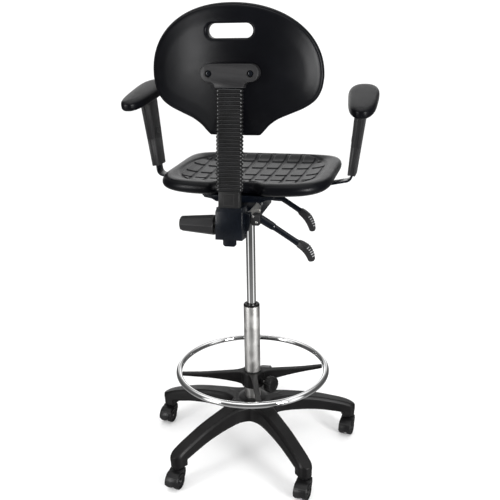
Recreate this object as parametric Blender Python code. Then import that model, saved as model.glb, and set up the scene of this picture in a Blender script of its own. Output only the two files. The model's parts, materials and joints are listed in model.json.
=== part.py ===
"""Drafting chair: five-star caster base, tall gas lift, foot ring, two-lever seat mechanism,
moulded seat and backrest on a bellows-covered bar, and height-adjustable armrests.

Metres, +Z up. The origin is on the floor on the column's axis; the sitter faces -Y, so the
sitter's left is +X. One object is one physical piece; empties are the joints' frames.
"""
import math

import bmesh
import bpy
from mathutils import Euler, Matrix, Vector

# Driving dimensions ---------------------------------------------------------------------
GAP = 0.0003                       # between pieces that touch

ARM_COUNT = 5
FIRST_ARM_DEG = -13.1              # base arm nearest the sitter's left
PIVOT_RADIUS = 0.320               # caster swivel axes, from the column
ARM_END_Z = 0.0606                 # underside of an arm's end
HUB_TOP_Z = 0.168
HUB_BOTTOM_Z = 0.104
HUB_RADIUS = 0.063

WHEEL_RADIUS = 0.025
WHEEL_WIDTH = 0.016
WHEEL_OFFSET = 0.0128              # wheel's middle, from the caster's middle plane
WHEEL_SIDES = 16
WHEEL_Z = WHEEL_RADIUS * math.cos(math.pi / WHEEL_SIDES)   # a facet rests on the floor
CASTER_TRAIL = 0.020
CASTER_YAW_DEG = 80.0              # direction in which the casters trail
AXLE_RADIUS = 0.003

TUBE_RADIUS = 0.025
TUBE_WALL = 0.0018
TUBE_BOTTOM_Z = 0.098
TUBE_TOP_Z = 0.477
CYLINDER_RADIUS = 0.014
CYLINDER_BOTTOM_Z = 0.395
CYLINDER_TOP_Z = 0.790
ROD_RADIUS = 0.005
PIN_TOP_Z = 0.802

RING_RADIUS = 0.232                # foot ring's tube centreline
RING_TUBE_RADIUS = 0.009
RING_Z = 0.262
RING_HUB_RADIUS = 0.036
RING_HUB_Z = (0.204, 0.2565)
FIRST_SPOKE_DEG = 18.6
RING_KNOB_DEG = 153.6
RING_KNOB_Z = 0.228

SEAT_CENTRE = (0.0, -0.050, 0.882)
SEAT_TILT = -0.030                 # radians about X: the rear edge is the lower one
SEAT_HALF_WIDTH = 0.246
SEAT_HALF_DEPTH = 0.215
SEAT_POWER = 4.2                   # superellipse exponent of the outline
SEAT_BOTTOM = -0.0215              # flat underside, below the seat's middle level

HOUSING_HALF_WIDTH = 0.055
HOUSING_WALL = 0.003
HOUSING_Y = (-0.070, 0.135)        # in the seat's frame
HOUSING_Z = (-0.110, -0.0258)
PIVOT_Y = 0.072                    # back tilt axis
PIVOT_Z = 0.800
CARRIER_HALF_WIDTH = 0.066

BAR_BASE = (0.0, 0.2292, 0.750)    # a point on the bar's middle line
BAR_LEAN = 0.094                   # radians about X: the top leans towards the sitter
BAR_HALF_WIDTH = 0.018
BAR_HALF_DEPTH = 0.004
BELLOWS_Z = (0.1365, 0.3985)       # along the bar, from BAR_BASE
BELLOWS_RIBS = 27

BACK_TOP_Z = 1.357
BACK_WIDEST_Z = 1.178
BACK_BOTTOM_Z = 1.0215
BACK_HALF_WIDTH = 0.2325
BACK_X = 0.003                     # the backrest's middle, from the bar's
BACK_CURVE = 0.90                  # how fast the sides come forward, per metre
BACK_LEAN = 0.06                   # slope of the backrest's middle: the top is further back
SLOT_HALF = (0.0605, 0.0180)       # handle slot, half length and half height
SLOT_Z = 1.288
PLATE_BOLT = (0.055, 1.1845)       # back plate's bolts: +-X and Z

ARM_FLARE = math.radians(6.6)
ARM_Y = -0.044
ARM_FOOT = (0.2937, 0.8935)        # X and Z of a sleeve's lower end, before its height setting
ARM_SETTING = {"left": 0.006, "right": -0.006}
SLEEVE_LENGTH = 0.186
PAD_TILT = math.radians(11.5)
PAD_TOE_IN = math.radians(3.0)

# Scene and helpers ----------------------------------------------------------------------
for old in list(bpy.data.objects):
    bpy.data.objects.remove(old, do_unlink=True)

FINISHES = {
    "black_nylon": ((0.018, 0.018, 0.019), 0.50, 0.0),
    "caster_black": ((0.014, 0.014, 0.016), 0.42, 0.0),
    "grey_black_plastic": ((0.030, 0.030, 0.033), 0.45, 0.0),
    "black_polyurethane": ((0.016, 0.017, 0.020), 0.48, 0.0),
    "black_rubber": ((0.022, 0.022, 0.023), 0.60, 0.0),
    "black_paint": ((0.013, 0.016, 0.020), 0.30, 0.3),
    "chrome": ((0.75, 0.75, 0.76), 0.10, 1.0),
    "satin_chrome": ((0.45, 0.45, 0.45), 0.28, 1.0),
    "zinc_steel": ((0.50, 0.49, 0.47), 0.38, 1.0),
}
MATERIALS = {}


def finish(slot):
    """The material of one finish, made once."""
    if slot not in MATERIALS:
        colour, roughness, metallic = FINISHES[slot]
        material = bpy.data.materials.new(slot)
        material.use_nodes = True
        shader = material.node_tree.nodes["Principled BSDF"]
        shader.inputs["Base Color"].default_value = (*colour, 1.0)
        shader.inputs["Roughness"].default_value = roughness
        shader.inputs["Metallic"].default_value = metallic
        MATERIALS[slot] = material
    return MATERIALS[slot]


def frame_at(name, location, rotation=(0.0, 0.0, 0.0), parent=None):
    """An empty that carries the pieces of one moving body."""
    empty = bpy.data.objects.new(name, None)
    empty.empty_display_size = 0.05
    empty.location = location
    empty.rotation_euler = rotation
    empty.parent = parent
    bpy.context.collection.objects.link(empty)
    return empty


def piece(name, mesh, slot, parent=None, location=(0, 0, 0), rotation=(0, 0, 0)):
    """One named part of the chair."""
    if not mesh.materials:
        mesh.materials.append(finish(slot))
    obj = bpy.data.objects.new(name, mesh)
    obj.parent = parent
    obj.location = location
    obj.rotation_euler = rotation
    bpy.context.collection.objects.link(obj)
    return obj


def tool(name, mesh, parent=None, location=(0, 0, 0), rotation=(0, 0, 0)):
    """A hidden shape that a Boolean uses."""
    obj = bpy.data.objects.new(name, mesh)
    obj.parent = parent
    obj.location = location
    obj.rotation_euler = rotation
    obj.display_type = "WIRE"
    obj.hide_render = True
    bpy.context.collection.objects.link(obj)
    return obj


def combine(obj, operand, operation="DIFFERENCE"):
    """Cut a tool out of an object, or join it on."""
    modifier = obj.modifiers.new(operand.name, "BOOLEAN")
    modifier.object = operand
    modifier.operation = operation
    modifier.solver = "EXACT"


def evaluated_copy(obj, name):
    """The object's shape with its modifiers done, as a mesh that copies can share."""
    graph = bpy.context.evaluated_depsgraph_get()
    mesh = bpy.data.meshes.new_from_object(obj.evaluated_get(graph))
    mesh.name = name
    return mesh


def drop(objects):
    """Take away construction objects."""
    for obj in objects:
        bpy.data.objects.remove(obj, do_unlink=True)


def skin(name, bodies, smooth_deg=35.0):
    """A closed mesh from lists of rings; each body is (rings, closed) and closed joins its ends."""
    bm = bmesh.new()
    for rings, closed in bodies:
        loops = [[bm.verts.new(point) for point in ring] for ring in rings]
        pairs = list(zip(loops, loops[1:]))
        if closed:
            pairs.append((loops[-1], loops[0]))
        for low, high in pairs:
            for i in range(len(low)):
                j = (i + 1) % len(low)
                bm.faces.new((low[i], low[j], high[j], high[i]))
        if not closed:
            bm.faces.new(tuple(reversed(loops[0])))
            bm.faces.new(tuple(loops[-1]))
    bmesh.ops.recalc_face_normals(bm, faces=bm.faces)
    mesh = bpy.data.meshes.new(name)
    bm.to_mesh(mesh)
    bm.free()
    mesh.shade_smooth()
    mesh.set_sharp_from_angle(angle=math.radians(smooth_deg))
    return mesh


def circle(radius, z, sides, half_step=False):
    """Points round the Z axis."""
    shift = 0.5 if half_step else 0.0
    angles = [2 * math.pi * (i + shift) / sides for i in range(sides)]
    return [(radius * math.cos(a), radius * math.sin(a), z) for a in angles]


def rod(profile, sides, half_step=False):
    """Rings of a solid of revolution, from (radius, z) pairs that stay off the axis."""
    return [circle(radius, z, sides, half_step) for radius, z in profile], False


def hollow(profile, sides, half_step=False):
    """Rings of a hollow turned piece, from a closed outline of (radius, z) pairs."""
    return [circle(radius, z, sides, half_step) for radius, z in profile], True


def rounded_box(half_x, half_y, corner, steps=2):
    """A rectangle with rounded corners, as (x, y) pairs."""
    points = []
    for quarter, (sx, sy) in enumerate(((1, 1), (-1, 1), (-1, -1), (1, -1))):
        for i in range(steps + 1):
            a = math.pi / 2 * (quarter + i / steps)
            x = sx * (half_x - corner) + corner * math.cos(a)
            y = sy * (half_y - corner) + corner * math.sin(a)
            points.append((x, y))
    return points


def prism_z(outline, z0, z1):
    """Rings of an upright prism over an (x, y) outline."""
    return [[(x, y, z) for x, y in outline] for z in (z0, z1)], False


def prism_x(outline, x0, x1):
    """Rings of a prism along X over a (y, z) outline."""
    return [[(x, y, z) for y, z in outline] for x in (x0, x1)], False


def prism_y(outline, y0, y1):
    """Rings of a prism along Y over an (x, z) outline."""
    return [[(x, y, z) for x, z in outline] for y in (y0, y1)], False


def box(x0, x1, y0, y1, z0, z1):
    """Rings of a plain block."""
    return prism_z([(x0, y0), (x1, y0), (x1, y1), (x0, y1)], z0, z1)


def filleted(points, radius, steps=4):
    """A path through points with its inner corners rounded."""
    points = [Vector(p) for p in points]
    path = [points[0]]
    for before, corner, after in zip(points, points[1:], points[2:]):
        back = (before - corner).normalized()
        ahead = (after - corner).normalized()
        half = back.angle(ahead) / 2
        reach = radius / math.tan(half)
        centre = corner + (back + ahead).normalized() * radius / math.sin(half)
        start = (corner + back * reach - centre).normalized()
        end = (corner + ahead * reach - centre).normalized()
        for i in range(steps + 1):
            path.append(centre + start.slerp(end, i / steps) * radius)
    path.append(points[-1])
    return path


def sweep(path, side, sections):
    """Rings of a section carried along a path; side stays fixed, sections may vary."""
    side = Vector(side).normalized()
    rings = []
    for i, point in enumerate(path):
        before = path[max(i - 1, 0)]
        after = path[min(i + 1, len(path) - 1)]
        normal = side.cross(after - before).normalized()
        section = sections(i / (len(path) - 1))
        rings.append([tuple(point + normal * u + side * v) for u, v in section])
    return rings, False


def turn_to(angle, radius, z):
    """A point at an angle in degrees round the column."""
    a = math.radians(angle)
    return (radius * math.cos(a), radius * math.sin(a), z)


# Base and casters -----------------------------------------------------------------------
ARM_ANGLES = [FIRST_ARM_DEG + 360.0 / ARM_COUNT * i for i in range(ARM_COUNT)]

# Stations along a base arm: distance from the column, half width, underside and top.
ARM_STATIONS = (
    (0.040, 0.028, 0.1090, 0.1640),
    (0.090, 0.026, 0.1110, 0.1630),
    (0.150, 0.0245, 0.1080, 0.1560),
    (0.210, 0.023, 0.1010, 0.1450),
    (0.265, 0.0225, 0.0880, 0.1290),
    (0.297, 0.0218, 0.0770, 0.1185),
    (0.2971, 0.0218, ARM_END_Z, 0.1184),
    (0.320, 0.0215, ARM_END_Z, 0.1080),
    (0.333, 0.0180, ARM_END_Z, 0.1010),
    (0.3400, 0.0115, ARM_END_Z, 0.0960),
)


def base_arm(angle):
    """A hollow-looking moulded arm: flat raised top, sloping shoulders, round end."""
    a = math.radians(angle)
    along = Vector((math.cos(a), math.sin(a), 0))
    across = Vector((-math.sin(a), math.cos(a), 0))
    rings = []
    for reach, half, low, high in ARM_STATIONS:
        section = (
            (-half, low + 0.003), (-half + 0.003, low), (half - 0.003, low), (half, low + 0.003),
            (half, high - 0.009), (0.72 * half, high), (-0.72 * half, high), (-half, high - 0.009),
        )
        rings.append([tuple(along * reach + across * v + Vector((0, 0, z))) for v, z in section])
    return rings, False


def star_base():
    """Hub, five arms, the column's tapered seat and the caster sockets."""
    hub_profile = (
        (HUB_RADIUS - 0.010, HUB_BOTTOM_Z), (HUB_RADIUS, HUB_BOTTOM_Z + 0.006),
        (HUB_RADIUS - 0.006, HUB_TOP_Z - 0.016), (0.040, HUB_TOP_Z - 0.002), (0.036, HUB_TOP_Z),
    )
    base = piece("star_base", skin("star_base", [rod(hub_profile, 30)]), "black_nylon")
    arms = tool("base_arms_tool", skin("base_arms", [base_arm(angle) for angle in ARM_ANGLES]))
    combine(base, arms, "UNION")
    bore = [(TUBE_RADIUS + 0.0004, HUB_BOTTOM_Z - 0.02), (TUBE_RADIUS + 0.0004, HUB_TOP_Z + 0.02)]
    holes = [rod(bore, 28)]
    for angle in ARM_ANGLES:
        x, y, _ = turn_to(angle, PIVOT_RADIUS, 0)
        rings, closed = rod([(0.0060, ARM_END_Z - 0.01), (0.0060, ARM_END_Z + 0.0310)], 12)
        holes.append(([[(x + p[0], y + p[1], p[2]) for p in ring] for ring in rings], closed))
    combine(base, tool("base_holes_tool", skin("base_holes", holes)))


def caster_hood_mesh():
    """Fender, centre web, neck and stem, in the caster's frame: +X trails, +Z up."""
    outer = WHEEL_RADIUS + 0.0036
    inner = WHEEL_RADIUS + 0.0013
    side = [(-0.0135, 0.0400), (-0.0060, 0.0240), (0.0100, 0.0175), (0.0320, 0.0165)]
    for i in range(7):
        a = math.radians(-14.0 + 108.0 * i / 6)
        side.append((CASTER_TRAIL + outer * math.cos(a), WHEEL_Z + outer * math.sin(a)))
    side += [(0.0100, 0.0560), (-0.0090, 0.0560), (-0.0130, 0.0520)]
    half = WHEEL_OFFSET + WHEEL_WIDTH / 2 - 0.0012
    rings = ([[(x, y, z) for x, z in side] for y in (-half, half)], False)
    hood = tool("hood_block", skin("hood_block", [rings]))
    pocket_rings = []
    for s in (-1, 1):
        near, far = s * 0.0040, s * 0.0300
        for_wheel = [
            [(CASTER_TRAIL + x, y, WHEEL_Z + z) for x, z, _ in circle(inner, 0, 20)]
            for y in (near, far)
        ]
        pocket_rings.append((for_wheel, False))
    pockets = tool("hood_pockets", skin("hood_pockets", pocket_rings))
    hole_ring = circle(AXLE_RADIUS + 0.0002, 0, 12)
    hole = [[(CASTER_TRAIL + x, y, WHEEL_Z + z) for x, z, _ in hole_ring] for y in (-0.02, 0.02)]
    axle_hole = tool("hood_axle_hole", skin("hood_axle_hole", [(hole, False)]))
    stem_profile = ((0.0115, 0.0500), (0.0115, ARM_END_Z - GAP), (0.0055, ARM_END_Z - GAP + 1e-5),
                    (0.0055, ARM_END_Z + 0.0280), (0.0045, ARM_END_Z + 0.0295))
    stem = tool("hood_stem", skin("hood_stem", [rod(stem_profile, 12)]))
    combine(hood, pockets)
    combine(hood, axle_hole)
    combine(hood, stem, "UNION")
    mesh = evaluated_copy(hood, "caster_hood")
    drop((hood, pockets, axle_hole, stem))
    mesh.shade_smooth()
    mesh.set_sharp_from_angle(angle=math.radians(35))
    return mesh


def wheel_mesh():
    """A nylon wheel with a dished outer disc, about its own Z axis; +Z faces outwards."""
    w = WHEEL_WIDTH / 2
    profile = ((AXLE_RADIUS + 0.0002, -w), (WHEEL_RADIUS - 0.002, -w), (WHEEL_RADIUS, -w + 0.002),
               (WHEEL_RADIUS, w - 0.003), (WHEEL_RADIUS - 0.003, w), (0.016, w - 0.0012),
               (AXLE_RADIUS + 0.0002, w - 0.0008))
    return skin("caster_wheel", [hollow(profile, WHEEL_SIDES, True)])


def casters():
    """Five twin-wheel casters, each with a hood on a stem, an axle and two wheels."""
    hood = caster_hood_mesh()
    wheel = wheel_mesh()
    axle = skin("caster_axle", [rod([(AXLE_RADIUS, -0.0195), (AXLE_RADIUS, 0.0195)], 12)])
    for number, angle in enumerate(ARM_ANGLES, start=1):
        name = f"caster_{number}"
        yaw = (0, 0, math.radians(CASTER_YAW_DEG))
        pivot = frame_at(name + "_pivot", turn_to(angle, PIVOT_RADIUS, 0), yaw)
        hub = (CASTER_TRAIL, 0, WHEEL_Z)
        left = (CASTER_TRAIL, WHEEL_OFFSET, WHEEL_Z)
        right = (CASTER_TRAIL, -WHEEL_OFFSET, WHEEL_Z)
        quarter = math.pi / 2
        piece(name + "_hood", hood, "caster_black", pivot)
        piece(name + "_axle", axle, "zinc_steel", pivot, hub, (quarter, 0, 0))
        piece(name + "_wheel_left", wheel, "caster_black", pivot, left, (-quarter, 0, 0))
        piece(name + "_wheel_right", wheel, "caster_black", pivot, right, (quarter, 0, 0))


# Column ---------------------------------------------------------------------------------
def column():
    """Outer tube, guide, thrust washer, piston rod, gas cylinder and its valve pin."""
    inner = TUBE_RADIUS - TUBE_WALL
    tube = ((0.0070, TUBE_BOTTOM_Z), (TUBE_RADIUS, TUBE_BOTTOM_Z), (TUBE_RADIUS, TUBE_TOP_Z),
            (inner, TUBE_TOP_Z), (inner, TUBE_BOTTOM_Z + 0.003), (0.0070, TUBE_BOTTOM_Z + 0.003))
    piece("column_tube", skin("column_tube", [hollow(tube, 28)]), "satin_chrome")
    bore = CYLINDER_RADIUS + 0.0003
    plug = inner - GAP
    guide = ((bore, TUBE_TOP_Z - 0.085), (plug, TUBE_TOP_Z - 0.085), (plug, TUBE_TOP_Z + GAP),
             (TUBE_RADIUS, TUBE_TOP_Z + GAP), (TUBE_RADIUS - 0.0006, TUBE_TOP_Z + 0.0045),
             (bore + 0.003, TUBE_TOP_Z + 0.0065), (bore, TUBE_TOP_Z + 0.0055))
    piece("guide_bushing", skin("guide_bushing", [hollow(guide, 28)]), "black_nylon")
    floor = TUBE_BOTTOM_Z + 0.003 + GAP
    washer = ((0.0060, floor), (0.0180, floor), (0.0180, floor + 0.005), (0.0060, floor + 0.005))
    piece("thrust_bearing", skin("thrust_bearing", [hollow(washer, 20)]), "zinc_steel")
    shoulder = floor + 0.005 + GAP
    head = CYLINDER_BOTTOM_Z + 0.016
    rod_profile = ((ROD_RADIUS, TUBE_BOTTOM_Z - 0.004), (ROD_RADIUS, shoulder), (0.009, shoulder),
                   (0.009, shoulder + 0.004), (ROD_RADIUS, shoulder + 0.004), (ROD_RADIUS, head),
                   (0.0118, head), (0.0118, head + 0.012))
    rod_profile = [(r, z + 1e-6 * i) for i, (r, z) in enumerate(rod_profile)]
    piece("piston_rod", skin("piston_rod", [rod(rod_profile, 14)]), "zinc_steel")
    bottom, top = CYLINDER_BOTTOM_Z, CYLINDER_TOP_Z
    cylinder = ((0.0056, bottom), (CYLINDER_RADIUS, bottom), (CYLINDER_RADIUS, top - 0.040),
                (CYLINDER_RADIUS - 0.0010, top), (0.0046, top), (0.0046, top - 0.020),
                (0.0123, top - 0.022), (0.0123, bottom + 0.012), (0.0056, bottom + 0.012))
    piece("gas_cylinder", skin("gas_cylinder", [hollow(cylinder, 24)]), "chrome")
    pin = ((0.0043, top - 0.014), (0.0043, PIN_TOP_Z - 0.001), (0.0035, PIN_TOP_Z))
    piece("valve_pin", skin("valve_pin", [rod(pin, 12)]), "zinc_steel")


# Foot ring ------------------------------------------------------------------------------
def foot_ring():
    """Chrome ring, spoked clamp hub, clamp screw and fluted knob."""
    profile = []
    for i in range(8):
        a = 2 * math.pi * (i + 0.5) / 8
        profile.append((RING_RADIUS + RING_TUBE_RADIUS * math.cos(a),
                        RING_Z + RING_TUBE_RADIUS * math.sin(a)))
    piece("foot_ring", skin("foot_ring", [hollow(profile, 48)], 60), "chrome")

    low, high = RING_HUB_Z
    bore = TUBE_RADIUS + 0.0006
    hub_profile = ((bore, low), (RING_HUB_RADIUS - 0.004, low), (RING_HUB_RADIUS - 0.001, low + 0.004),
                   (RING_HUB_RADIUS, high - 0.003), (RING_HUB_RADIUS - 0.003, high), (bore, high))
    hub = piece("foot_ring_hub", skin("foot_ring_hub", [hollow(hub_profile, 28)]), "black_nylon")
    spokes = []
    reach_end = RING_RADIUS - RING_TUBE_RADIUS - GAP
    stations = ((0.031, 0.011, low + 0.003, high - 0.001), (0.060, 0.010, 0.2190, 0.2556),
                (0.140, 0.0085, 0.2360, 0.2550), (reach_end, 0.008, 0.2480, 0.2590))
    for i in range(4):
        a = math.radians(FIRST_SPOKE_DEG + 90 * i)
        along = Vector((math.cos(a), math.sin(a), 0))
        across = Vector((-math.sin(a), math.cos(a), 0))
        rings = []
        for reach, half, z0, z1 in stations:
            section = ((-0.45 * half, z0), (0.45 * half, z0), (half, z1 - 0.002),
                       (half - 0.0015, z1), (-half + 0.0015, z1), (-half, z1 - 0.002))
            rings.append([tuple(along * reach + across * v + Vector((0, 0, z)))
                          for v, z in section])
        spokes.append((rings, False))
    combine(hub, tool("spokes_tool", skin("spokes", spokes)), "UNION")

    knob_turn = (math.pi / 2, 0, math.radians(RING_KNOB_DEG) + math.pi / 2)
    centre = (0, 0, RING_KNOB_Z)
    boss = skin("clamp_boss", [rod([(0.0115, 0.031), (0.0110, 0.0440)], 20)])
    combine(hub, tool("clamp_boss_tool", boss, None, centre, knob_turn), "UNION")
    hole = skin("clamp_hole", [rod([(0.0042, 0.0200), (0.0042, 0.0600)], 12)])
    combine(hub, tool("clamp_hole_tool", hole, None, centre, knob_turn))

    axis = frame_at("ring_clamp_axis", centre, knob_turn)
    screw_profile = ((0.0038, TUBE_RADIUS + 0.0009), (0.0038, 0.0565))
    piece("ring_clamp_screw", skin("ring_clamp_screw", [rod(screw_profile, 12)]),
          "zinc_steel", axis)
    rings = []
    for reach, radius in ((0.0568, 0.0150), (0.0600, 0.0230), (0.0640, 0.0254), (0.0820, 0.0260),
                          (0.0860, 0.0236)):
        ring = []
        for i in range(24):
            a = 2 * math.pi * i / 24
            r = radius * (1.0 - 0.055 * (0.5 - 0.5 * math.cos(8 * a)))
            ring.append((r * math.cos(a), r * math.sin(a), reach))
        rings.append(ring)
    piece("ring_clamp_knob", skin("ring_clamp_knob", [(rings, False)]), "black_nylon", axis)


# Seat and mechanism ---------------------------------------------------------------------
def seat_outline(inset):
    """The seat seen from above: a superellipse with a recess for the bar at the rear."""
    points = []
    count = 44
    for i in range(count):
        a = 2 * math.pi * (i + 0.5) / count
        c, s = math.cos(a), math.sin(a)
        x = (SEAT_HALF_WIDTH - inset) * math.copysign(abs(c) ** (2 / SEAT_POWER), c)
        y = (SEAT_HALF_DEPTH - inset) * math.copysign(abs(s) ** (2 / SEAT_POWER), s)
        if y > 0:
            y -= 0.027 * math.exp(-((x / 0.064) ** 6))
        points.append((x, y))
    return points


def seat(frame):
    """Moulded seat, its plate, the mechanism's housing and the column's taper socket."""
    levels = ((0.034, SEAT_BOTTOM), (0.012, -0.0165), (0.002, -0.008), (0.0, 0.002),
              (0.005, 0.012), (0.016, 0.0175), (0.034, 0.016), (0.070, 0.008), (0.110, 0.005))
    rings = [[(x, y, z) for x, y in seat_outline(inset)] for inset, z in levels]
    piece("seat_pan", skin("seat_pan", [(rings, False)], 50), "black_polyurethane", frame)

    top = SEAT_BOTTOM - GAP
    plate_outline = [(-0.102, 0.150), (-0.102, 0.186), (0.102, 0.186), (0.102, 0.150),
                     (0.070, 0.120), (0.070, -0.030), (0.102, -0.060), (0.102, -0.090),
                     (-0.102, -0.090), (-0.102, -0.060), (-0.070, -0.030), (-0.070, 0.120)]
    plate = skin("seat_plate", [prism_z(plate_outline, top - 0.0035, top)])
    piece("seat_plate", plate, "black_paint", frame)

    half, wall = HOUSING_HALF_WIDTH, HOUSING_WALL
    z0, z1 = HOUSING_Z
    channel = [(-half, z1), (-half, z0), (half, z0), (half, z1), (half - wall, z1),
               (half - wall, z0 + wall), (-half + wall, z0 + wall), (-half + wall, z1)]
    housing = piece("mechanism_housing", skin("housing", [prism_y(channel, *HOUSING_Y)]),
                    "black_paint", frame)
    column_y = -SEAT_CENTRE[1] + HOUSING_Z[0] * math.sin(SEAT_TILT)
    socket_hole = rod([(0.0250, z0 - 0.01), (0.0250, z0 + wall + 0.01)], 28)
    rings = [[(x, y + column_y, z) for x, y, z in ring] for ring in socket_hole[0]]
    lever_slot = box(-half - 0.01, -half + 0.01, column_y - 0.010, column_y + 0.010,
                     -0.083, -0.044)
    combine(housing, tool("housing_tool", skin("housing_cut", [(rings, False), lever_slot]),
                          frame))
    back, up = PIVOT_Y - SEAT_CENTRE[1], PIVOT_Z - SEAT_CENTRE[2]
    pin_y = back * math.cos(SEAT_TILT) + up * math.sin(SEAT_TILT)
    pin_z = up * math.cos(SEAT_TILT) - back * math.sin(SEAT_TILT)
    pin_hole = [[(x, pin_y + y, pin_z + z) for y, z, _ in circle(0.0066, 0, 16)]
                for x in (-0.08, 0.08)]
    combine(housing, tool("pivot_hole_tool", skin("pivot_hole", [(pin_hole, False)]), frame))

    bore_low, bore_high = CYLINDER_RADIUS + 0.0004, CYLINDER_RADIUS + 0.0004
    socket = ((bore_low, 0.7500), (0.0205, 0.7500), (0.0225, 0.7560), (0.0225, 0.7870),
              (bore_high, 0.7870))
    piece("taper_socket", skin("taper_socket", [hollow(socket, 24)]), "zinc_steel")


def lever(name, path, side, radius, pivot):
    """A round bar bent along a path, with its origin on the lever's axis."""
    local = [Vector(p) - Vector(pivot) for p in path]
    route = filleted(local, 0.008, 3)
    section = [(radius * math.cos(2 * math.pi * i / 10), radius * math.sin(2 * math.pi * i / 10))
               for i in range(10)]
    mesh = skin(name, [sweep(route, side, lambda t: section)], 60)
    return piece(name, mesh, "black_paint", None, pivot)


def lever_grip(name, start, end, pivot):
    """A paddle grip that bends down over the end of a lever."""
    start, end = Vector(start) - Vector(pivot), Vector(end) - Vector(pivot)
    bulge = Vector((-0.006, 0, 0.0065))
    path = []
    for i in range(9):
        t = i / 8
        path.append(start.lerp(end, t) + bulge * math.sin(math.pi * t))

    def section(t):
        width = 0.0080 + 0.0060 * math.sin(math.pi * min(t * 1.15, 1.0)) ** 0.7
        thick = 0.0080 + 0.0032 * math.sin(math.pi * min(t * 1.1, 1.0))
        return rounded_box(thick, width, 0.45 * thick)

    mesh = skin(name, [sweep(path, (0, 1, 0), section)], 60)
    return piece(name, mesh, "grey_black_plastic", None, pivot)


def levers():
    """Seat height lever and back tilt lever, both on the sitter's right."""
    height_pivot = (-0.045, 0.0, 0.8125)
    height_path = ((0.006, 0.0, 0.8088), (-0.040, 0.0, 0.8125), (-0.066, 0.0, 0.8190),
                   (-0.098, 0.0, 0.8178), (-0.1468, 0.0, 0.7866))
    lever("height_lever", height_path, (0, 1, 0), 0.0060, height_pivot)
    lever_grip("height_lever_grip", (-0.1492, 0.0, 0.7848), (-0.1888, 0.0, 0.7240), height_pivot)

    y = 0.190
    hub = [(-0.078, 0.794), (-0.078, 0.817), (-0.074, 0.821), (-0.0565, 0.821), (-0.0525, 0.817),
           (-0.0525, 0.795), (-0.0565, 0.7915), (-0.074, 0.7915)]
    pivot = (-0.062, y, 0.808)
    local = [(x - pivot[0], z - pivot[2]) for x, z in hub]
    piece("tilt_lever_hub", skin("tilt_lever_hub", [prism_y(local, -0.015, 0.015)]),
          "grey_black_plastic", None, pivot)
    tilt_path = ((-0.0830, y, 0.8039), (-0.120, y, 0.7820), (-0.1745, y, 0.7478))
    lever("tilt_lever", tilt_path, (0, 1, 0), 0.0080, pivot)
    lever_grip("tilt_lever_grip", (-0.1773, y, 0.7458), (-0.2165, y, 0.6965), pivot)


# Back support ---------------------------------------------------------------------------
def carrier():
    """Galvanised channel that tilts on the pivot pin and carries the bar's bracket."""
    half = CARRIER_HALF_WIDTH
    web = [(0.0905, 0.8290), (0.0905, 0.8260), (0.1715, 0.8168), (0.1715, 0.8198)]
    body = piece("back_carrier", skin("back_carrier", [prism_x(web, -half, half)]), "zinc_steel")
    cheek = [(0.0580, 0.7900), (0.0700, 0.7870), (0.1500, 0.7850), (0.1735, 0.7900),
             (0.1713, 0.8178), (0.0920, 0.8270), (0.0700, 0.8130), (0.0580, 0.8090)]
    cheeks = [prism_x(cheek, half - 0.003, half - 0.00001), prism_x(cheek, 0.00001 - half, 0.003 - half)]
    combine(body, tool("cheeks_tool", skin("cheeks", cheeks)), "UNION")
    pin_hole = [[(x, PIVOT_Y + a, PIVOT_Z + b) for a, b, _ in circle(0.0053, 0, 16)]
                for x in (-0.09, 0.09)]
    combine(body, tool("carrier_pin_tool", skin("carrier_pin", [(pin_hole, False)])))
    pin = [[(x, a, b) for a, b, _ in circle(0.0050, 0, 16)] for x in (-0.0700, 0.0700)]
    piece("pivot_pin", skin("pivot_pin", [(pin, False)]), "zinc_steel", None,
          (0, PIVOT_Y, PIVOT_Z))


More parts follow.
